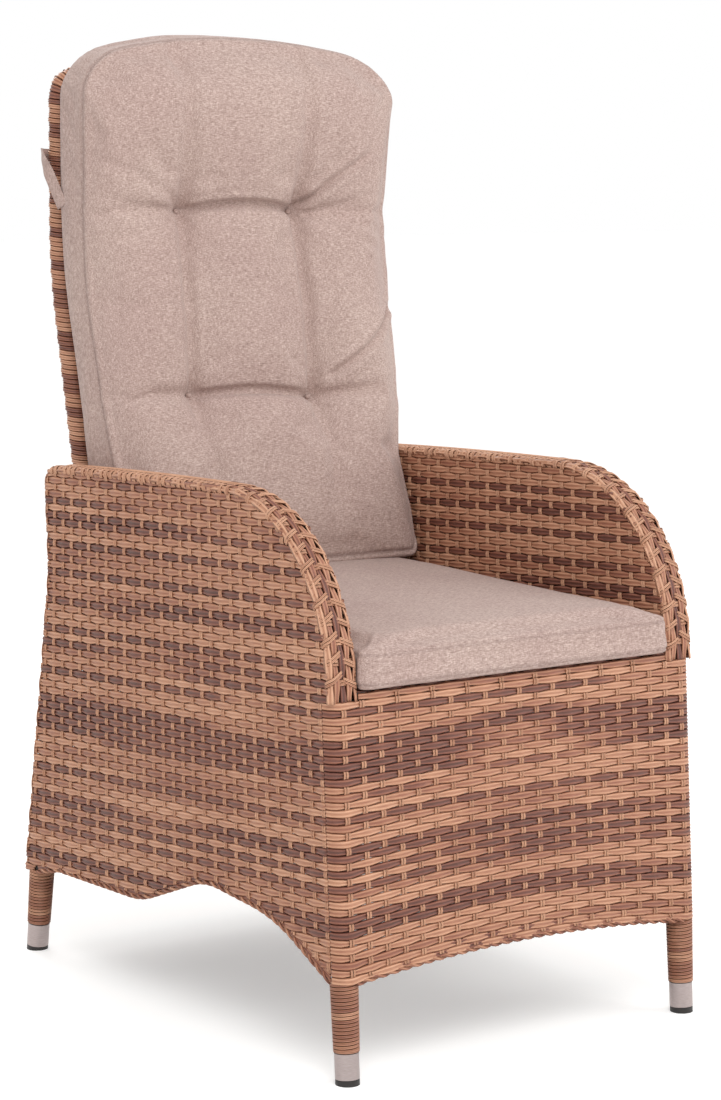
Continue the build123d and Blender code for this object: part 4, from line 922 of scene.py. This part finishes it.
def crease(x, z, start, end, width, bow):
    """1 on a creased line from start to end and falling off beside it, with a low ridge along it."""
    start, end = np.array(start), np.array(end)
    length = np.hypot(*(end - start))
    way = (end - start) / length
    place = ((x - start[0]) * way[0] + (z - start[1]) * way[1]) / length
    along = limited(place)
    off = -(x - start[0]) * way[1] + (z - start[1]) * way[0] - bow * 4 * along * (1 - along)
    beyond = np.maximum(0, np.abs(place - 0.5) - 0.5) * length
    fade = bell(beyond, 2 * width) * (1 - 0.75 * along ** 2)
    return fade * (bell(off, width) - 0.35 * bell(np.abs(off) - 2.1 * width, width))


def voxel(piece, size):
    only(piece)
    piece.data.remesh_voxel_size = size
    piece.data.use_remesh_fix_poles = False
    bpy.ops.object.voxel_remesh()


def inflate(piece, pin_weights, pressure, cap):
    """Blows a pad up as cloth, pinned where it is held, and keeps the result within a cap."""
    start = read_points(piece)
    held = piece.vertex_groups.new(name="held")
    for i in np.flatnonzero(pin_weights > 0.01):
        held.add([int(i)], float(pin_weights[i]), "REPLACE")
    cloth = piece.modifiers.new("Cloth", "CLOTH")
    settings = cloth.settings
    settings.quality = 5
    settings.mass = 0.3
    settings.tension_stiffness = 12
    settings.compression_stiffness = 12
    settings.shear_stiffness = 6
    settings.bending_stiffness = 0.4
    settings.use_pressure = True
    settings.uniform_pressure_force = pressure
    settings.vertex_group_mass = "held"
    settings.effector_weights.gravity = 0
    cloth.collision_settings.use_collision = False
    scene = bpy.context.scene
    scene.frame_start, scene.frame_end = 1, 20
    for number in range(1, scene.frame_end + 1):
        scene.frame_set(number)
    only(piece)
    bpy.ops.object.modifier_apply(modifier="Cloth")
    moved = read_points(piece) - start
    far = np.linalg.norm(moved, axis=1)
    write_points(piece, start + moved * np.minimum(1, cap / np.maximum(far, 1e-9))[:, None])
    piece.vertex_groups.clear()
    scene.frame_set(1)


def smooth_finish(piece):
    only(piece)
    bpy.ops.object.shade_smooth()
    soften = piece.modifiers.new("Subdivision", "SUBSURF")
    soften.levels = soften.render_levels = 1
    bpy.ops.object.modifier_apply(modifier="Subdivision")
    piece.data.materials.clear()
    piece.data.materials.append(fabric)


# Seat cushion: boxed pad, crowned, lying on the deck, its front standing a little before the arms
seat_half, seat_thick = 0.2085, 0.044
seat_front, seat_rear = -0.331, 0.2015
seat_length = seat_rear - seat_front
seat_crown, seat_rear_rise = 8 * MM, 6 * MM
seat_gap = 0.5 * MM              # from the deck to the pad before it is blown up
arms_front = -0.322              # before it the pad is a little wider than the room between the arms
between_arms, before_arms = 0.2112, 0.218
seat_front_limit = -0.3335
seat_top_seam, seat_low_seam = 0.86, 0.12
seat = box_pad("seat_pad", (seat_half * 2, seat_length, seat_thick), 0.026, 0.017, 2)
voxel(seat, 5 * MM)
p = read_points(seat)
inside_rim = outline_depth(p[:, 0], p[:, 1], seat_half, seat_length / 2, 0.02)
nx, ny = p[:, 0] / seat_half, p[:, 1] / (seat_length / 2)
rise = (p[:, 2] + seat_thick / 2) / seat_thick
crown = (1 - np.abs(nx) ** 3) * (1 - np.abs(ny) ** 3)
keep_label(seat, "share", rise)
keep_label(seat, "inside_rim", inside_rim)
p[:, 2] += rise * (-1 * MM + seat_crown * crown + seat_rear_rise * limited(0.5 + ny))
p[:, 1] *= 1 - 0.006 * (1 - nx ** 2)
p[:, 0] *= 1 - 0.012 * (1 - ny ** 2)
p += np.array([0, (seat_front + seat_rear) / 2, deck_top + seat_gap + seat_thick / 2])
p[:, 0] += 7.5 * MM * np.sign(nx) * np.abs(nx) ** 6 * limited((arms_front + 10 * MM - p[:, 1]) / (8 * MM))
write_points(seat, p)
on_deck = limited(1.4 * bell(p[:, 2] - p[:, 2].min(), 4 * MM))
inflate(seat, on_deck, 3.0, 4 * MM + 6 * MM * limited(inside_rim / 0.03) * (rise > 0.9))
p = read_points(seat)
room = np.where(p[:, 1] > arms_front, between_arms, before_arms)
p[:, 0] = np.clip(p[:, 0], -room, room)
p[:, 1] = np.maximum(p[:, 1], seat_front_limit)
p[:, 2] = np.maximum(p[:, 2], deck_top + 0.4 * MM)
write_points(seat, p)
smooth_finish(seat)
p = read_points(seat)
rise, inside_rim = read_label(seat, "share"), read_label(seat, "inside_rim")
seams = sum(seam(rise, place, seat_thick, inside_rim) for place in (seat_top_seam, seat_low_seam))
keep_label(seat, "seam", seams)
sew(seat, 1.3 * MM * seams + 0.7 * MM * (drift(p[:, 0] * 26 + 40, p[:, 1] * 11 + 30) - 0.5))
finish_piece(seat, "seat_frame", "cushion_fabric", "seat_cushion")

# Back cushion: boxed pad that leans on the woven back, tufted at four points, as (x, z)
tufts = ((-0.087, 0.683), (0.084, 0.674), (-0.078, 0.901), (0.084, 0.899))
back_foot, back_top = 0.4685, 1.112
pad_depth, pad_half = 0.052, 0.216
top_corner, foot_corner = 0.062, 0.018
pad_rest = 15.4 * MM             # from the back's middle to the pad, and the least that it may be
pad_rest_least = 15.0 * MM
pad_lowest, pad_highest = 0.4665, 1.1160
front_seam, rear_seam = 0.90, 0.08
height_mid = (back_foot + back_top) / 2
pad = box_pad("back_pad", (pad_half * 2, pad_depth, back_top - back_foot), top_corner, foot_corner, 1)
voxel(pad, 5.5 * MM)
p = read_points(pad)
x, z = p[:, 0].copy(), p[:, 2] + height_mid
front_share = limited((pad_depth / 2 - p[:, 1]) / pad_depth)
up = (z - back_foot) / (back_top - back_foot)
nx = x / pad_half
inside_rim = outline_depth(x, p[:, 2], pad_half, (back_top - back_foot) / 2,
                           np.interp(z, [0.7, 0.9], [foot_corner, top_corner]))
keep_label(pad, "share", front_share)
keep_label(pad, "inside_rim", inside_rim)
z_new = z - 0.030 * limited((up - 0.75) / 0.25) ** 1.5 * nx ** 2
# half widths to the left and to the right, which bulges where the photo shows it
left_edge = np.interp(z, [0.62, 0.70], [0.2095, 0.2080]) + 3 * MM * front_share
right_edge = np.interp(z, [0.47, 0.60, 0.66, 0.74, 0.82, 0.90, 1.05],
                       [0.2090, 0.2095, 0.2260, 0.2340, 0.2390, 0.2350, 0.2460])
edge_x = np.where(x < 0, left_edge, right_edge)
x_new = x + np.sign(x) * (edge_x - pad_half) * np.abs(nx) ** 1.6
# the rear face is crowned too, so the boxing's rear seam stands off the woven back
rim_front = pad_depth * np.interp(up, [0, 0.1, 0.3, 0.5, 0.9, 1.0], [1.66, 1.60, 1.16, 0.96, 1.0, 0.85])
rim_rear = (np.interp(z, [0.66, 0.80, 0.92], [0.020, 0.014, 0.006])
            * (1 - (1 - np.abs(nx) ** 7) * (1 - np.abs(2 * up - 1) ** 9)))
crown = (1 - np.abs(nx) ** 3.0) * (1 - np.abs(2 * up - 1) ** 3.6)
thick = rim_front + 0.015 + 0.030 * crown * np.interp(up, [0, 0.3], [0.25, 1.0])
# valleys through the tufts: up and down, and across between each pair
for tuft_x, tuft_z in tufts:
    dx = x_new - tuft_x
    away = z - tuft_z
    reach_z = limited(1.15 - np.abs(away) / np.where((away > 0) == (tuft_z < 0.8), 0.24, 0.21)) ** 0.7
    thick -= 7.5 * MM * bell(dx, 0.015) * reach_z * (np.abs(away) < 0.25) * limited((z - 0.50) / 0.08)
    thick -= 10 * MM * np.exp(-(np.hypot(dx, away) / 0.028) ** 1.4)
for (left_x, left_z), (right_x, right_z) in (tufts[:2], tufts[2:]):
    share_x = (x_new - left_x) / (right_x - left_x)
    lift_between = 0.030 * np.clip(share_x * (1 - share_x), -0.05, 1)
    row_z = left_z + (right_z - left_z) * limited(share_x) + lift_between
    thick -= 9 * MM * bell(z - row_z, 0.012) * limited(1.3 - np.abs(nx)) ** 1.2
rest = back_y(z_new) - pad_rest
y_new = rest - rim_rear - front_share * (thick - rim_rear)
write_points(pad, np.stack([x_new, y_new, z_new], 1))
pinned = np.where(front_share < 0.08, 1.0, 0.0)
for tuft_x, tuft_z in tufts:
    at_tuft = (np.hypot(x_new - tuft_x, z - tuft_z) < 7 * MM) & (front_share > 0.6)
    pinned = np.maximum(pinned, np.where(at_tuft, 1.0, 0.0))
# the rims hold the cloth, and so does the seat near the foot
cap = 4.5 * MM + (11.5 * MM * limited((inside_rim - 4 * MM) / (32 * MM)) * (front_share > 0.9)
                  * np.interp(z, [0.47, 0.66], [0.2, 1.0]))
inflate(pad, pinned, 4.0, cap)
p = read_points(pad)
p[:, 1] = np.minimum(p[:, 1], back_y(p[:, 2]) - pad_rest_least)
left_limit = np.interp(p[:, 2], [0.62, 0.66], [0.2108, 0.2135])
right_limit = np.interp(p[:, 2], [0.615, 0.66, 0.75], [0.2108, 0.2300, 0.2480])
p[:, 0] = np.clip(p[:, 0], -left_limit, right_limit)
p[:, 2] = np.clip(p[:, 2], pad_lowest, pad_highest)
write_points(pad, p)
smooth_finish(pad)

# Seams, creases and tufts are pressed in after the pad is blown up
p = read_points(pad)
x, z = p[:, 0], p[:, 2]
share, inside_rim = read_label(pad, "share"), read_label(pad, "inside_rim")
on_front = limited((share - 0.9) / 0.08)
seams = (seam(share, front_seam, pad_depth, inside_rim, 2.0 * MM)
         + seam(share, rear_seam, pad_depth, inside_rim))
# at the foot the boxing rolls forward, and its seam shows above the seat
seams = np.maximum(seams, on_front * bell(inside_rim - 10 * MM, 2.2 * MM) * limited((0.50 - z) / 0.015))
keep_label(pad, "seam", seams)
depth = 2.2 * MM * seams + on_front * 0.8 * MM * bell(inside_rim - 8 * MM, 3 * MM)
# start, end, depth, half width and bow, the last three in millimetres; these run from both ends
sharp_creases = ((tufts[0], tufts[1], 6.5, 4.2, 8), (tufts[2], tufts[3], 7.5, 4.2, 9),
                 ((0.222, 0.776), (0.112, 0.704), 6.5, 4.4, 4))
creases = sharp_creases + tuple((end, start, press, half_width, -bow)
                                for start, end, press, half_width, bow in sharp_creases) + (
    ((0.084, 0.901), (0.180, 0.966), 9.0, 4.4, 3), ((0.100, 0.895), (0.190, 0.918), 2.6, 6.0, 0),
    ((0.130, 0.890), (0.222, 0.866), 2.8, 6.0, 3), ((0.092, 0.676), (0.215, 0.690), 2.6, 6.0, 0),
    ((0.145, 0.872), (0.212, 0.850), 2.0, 6.0, 0), ((-0.080, 0.905), (-0.195, 0.962), 2.8, 7.0, -5),
    ((-0.085, 0.901), (-0.190, 0.918), 3.0, 6.0, 3), ((-0.090, 0.893), (-0.198, 0.866), 2.4, 7.0, 3),
    ((-0.090, 0.684), (-0.160, 0.690), 2.6, 6.0, 0), ((-0.086, 0.676), (-0.150, 0.640), 1.6, 8.0, 0),
    ((0.086, 0.668), (0.150, 0.625), 1.6, 8.0, 0), ((-0.079, 0.895), (-0.086, 0.740), 4.6, 8.0, 0),
    ((0.084, 0.893), (0.086, 0.740), 5.0, 7.0, 0), ((-0.087, 0.690), (-0.084, 0.850), 4.6, 7.0, 0),
    ((0.084, 0.682), (0.086, 0.850), 5.0, 7.0, 0), ((-0.079, 0.906), (-0.082, 1.095), 4.2, 9.0, 0),
    ((0.086, 0.906), (0.094, 1.085), 5.0, 8.0, 0), ((-0.086, 1.100), (-0.080, 0.980), 2.5, 8.0, 0),
    ((0.096, 1.090), (0.088, 0.980), 3.0, 7.0, 0), ((-0.088, 0.676), (-0.092, 0.540), 3.0, 9.0, 0),
    ((0.085, 0.668), (0.088, 0.560), 3.0, 9.0, 0))
deepest, ridges = np.zeros(len(x)), np.zeros(len(x))
for start, end, press, half_width, bow in creases:
    pressed = on_front * press * MM * crease(x, z, start, end, half_width * MM, bow * MM)
    deepest, ridges = np.maximum(deepest, pressed), np.minimum(ridges, pressed)
depth += deepest + ridges * (1 - limited(deepest / (2 * MM)))
for tuft_x, tuft_z in tufts:
    r = np.hypot(x - tuft_x, z - tuft_z)
    pleats = np.cos(7 * np.arctan2(z - tuft_z, x - tuft_x) + 1.0)
    depth += on_front * (1.2 * MM * bell(r, 6 * MM) + 0.7 * MM * pleats * bell(r - 0.018, 0.010))
depth += on_front * 1.1 * MM * (drift(x * 22 + 40, z * 13 + 20) - 0.5)
depth += 0.5 * MM * (drift(x * 60 + 40, z * 50 + 20) - 0.5)
sew(pad, depth)
finish_piece(pad, "back", "cushion_fabric", "back_cushion")

# Knots of the tufting thread
knot_radius, knot_sunk = 3.8 * MM, 2.2 * MM
pad_tree = BVHTree.FromObject(pad, bpy.context.evaluated_depsgraph_get())
knot_parts = []
for tuft_x, tuft_z in tufts:
    hit = pad_tree.ray_cast(Vector((tuft_x, -0.2, tuft_z)), Vector((0, 1, 0)))[0]
    bpy.ops.object.select_all(action="DESELECT")
    bpy.ops.mesh.primitive_uv_sphere_add(segments=14, ring_count=8, radius=knot_radius,
                                         location=(tuft_x, hit.y - knot_sunk, tuft_z - 1 * MM))
    bpy.ops.transform.resize(value=(1.0, 0.6, 0.8))
    bpy.ops.object.transform_apply(location=True, rotation=True, scale=True)
    bpy.ops.object.shade_smooth()
    knot_parts.append(bpy.context.object)
only(knot_parts[0])
for knot in knot_parts:
    knot.select_set(True)
bpy.ops.object.join()
knots = bpy.context.object
knots.name = knots.data.name = "tuft_knots"
knots.data.materials.clear()
knots.data.materials.append(fabric)
finish_piece(knots, "back", "cushion_fabric")

# Strap round the woven back, sewn to the cushion's boxing; it stands loosely off the weave
strap_width, strap_thick = 0.016, 0.7 * MM
strap_low, strap_high = 0.906, 0.962
strap_rear_y = float(back_y(strap_high)) + 0.0165
half_loop = rounded([(0, strap_rear_y, strap_high - 0.002), (-0.2075, strap_rear_y, strap_high + 0.004),
                     (-0.2215, 0.316, strap_high + 0.008), (-0.2105, 0.284, strap_low)],
                    (0.010, 0.03), 3 * MM)
loop = np.concatenate([(half_loop[::-1] * np.array([-1, 1, 1]))[:-1], half_loop])
tangent = unit(np.gradient(loop, axis=0))
outward = unit(np.stack([-tangent[:, 1], tangent[:, 0], np.zeros(len(loop))], 1))
if outward[len(loop) // 2][1] < 0:
    outward = -outward
strands = Strands()
strap_section = np.array([(-1.0, -0.5), (-0.97, 0.7), (-0.8, 1.0), (0.8, 1.0), (0.97, 0.7), (1.0, -0.5)])
strands.add(loop, outward, strap_width / 2, strap_thick, 0.5, strap_section, np.linspace(0, 1, 6))
finish_piece(strands.build("cushion_strap_band", fabric), "back", "cushion_fabric", "cushion_strap")

# Painted studio floor: plain, matt, pale
bpy.ops.object.select_all(action="DESELECT")
bpy.ops.mesh.primitive_plane_add(size=60)
floor = bpy.context.object
floor.name = "studio_floor"
floor_paint, floor_shader = new_material("matt_white_floor_paint", "#F3F2F0", 0.9)
floor.data.materials.append(floor_paint)


def seen_ray(owner):
    """One where the camera, a reflection or a glass looks at the stage, nought where it only lights."""
    path = add_node(owner, "LightPath")
    first = add_node(owner, "Math", {0: (path, "Is Camera Ray"), 1: (path, "Is Glossy Ray")},
                     operation="ADD")
    return add_node(owner, "Math", {0: (first, 0), 1: (path, "Is Transmission Ray")},
                    operation="ADD", use_clamp=True)


# The floor shows nearly white and keeps the chair's shadow
floor_light = 0.34
floor_glow = add_node(floor_paint, "Math", {0: (seen_ray(floor_paint), 0)}, {1: floor_light},
                      operation="MULTIPLY")
floor_shader.inputs["Emission Color"].default_value = (1, 1, 1, 1)
wire(floor_paint, floor_glow, 0, floor_shader, "Emission Strength")

# The world shows white and lights a little less
world = bpy.data.worlds.new("studio")
bpy.context.scene.world = world
world.use_nodes = True
world_light = 0.75
back_light = world.node_tree.nodes["Background"]
back_light.inputs["Color"].default_value = (1, 1, 1, 1)
back_strength = add_node(world, "Math", {0: (seen_ray(world), 0)}, {1: 1 - world_light, 2: world_light},
                         operation="MULTIPLY_ADD")
wire(world, back_strength, 0, back_light, "Strength")

# Lamps: place, what it points at, size and watts
for name, place, target, size, watts in (("key_light", (-1.6, -2.9, 3.4), (0, 0, 0.5), 2.2, 84),
                                         ("fill_light", (2.8, -2.4, 2.0), (0, 0, 0.5), 2.4, 45),
                                         ("rim_light", (0.5, 3.0, 2.6), (0, 0, 0.8), 2.0, 40)):
    lamp_data = bpy.data.lights.new(name, "AREA")
    lamp_data.shape = "SQUARE"
    lamp_data.size = size
    lamp_data.energy = watts
    lamp = in_scene(name, lamp_data)
    lamp.location = place
    lamp.rotation_euler = (Vector(target) - Vector(place)).to_track_quat("-Z", "Y").to_euler()

# Camera, from a pinhole fit to the photo's feet and front corners
camera_data = bpy.data.cameras.new("photo_camera")
camera_data.sensor_width = 36
camera_data.lens = 96.16
camera = in_scene("photo_camera", camera_data)
camera.location = (-1.949, -2.767, 0.954)
camera.rotation_euler = (math.radians(90 - 7.454), 0, math.radians(-35.43))
bpy.context.scene.camera = camera
bpy.context.scene.view_settings.view_transform = "Standard"

bpy.context.view_layer.update()
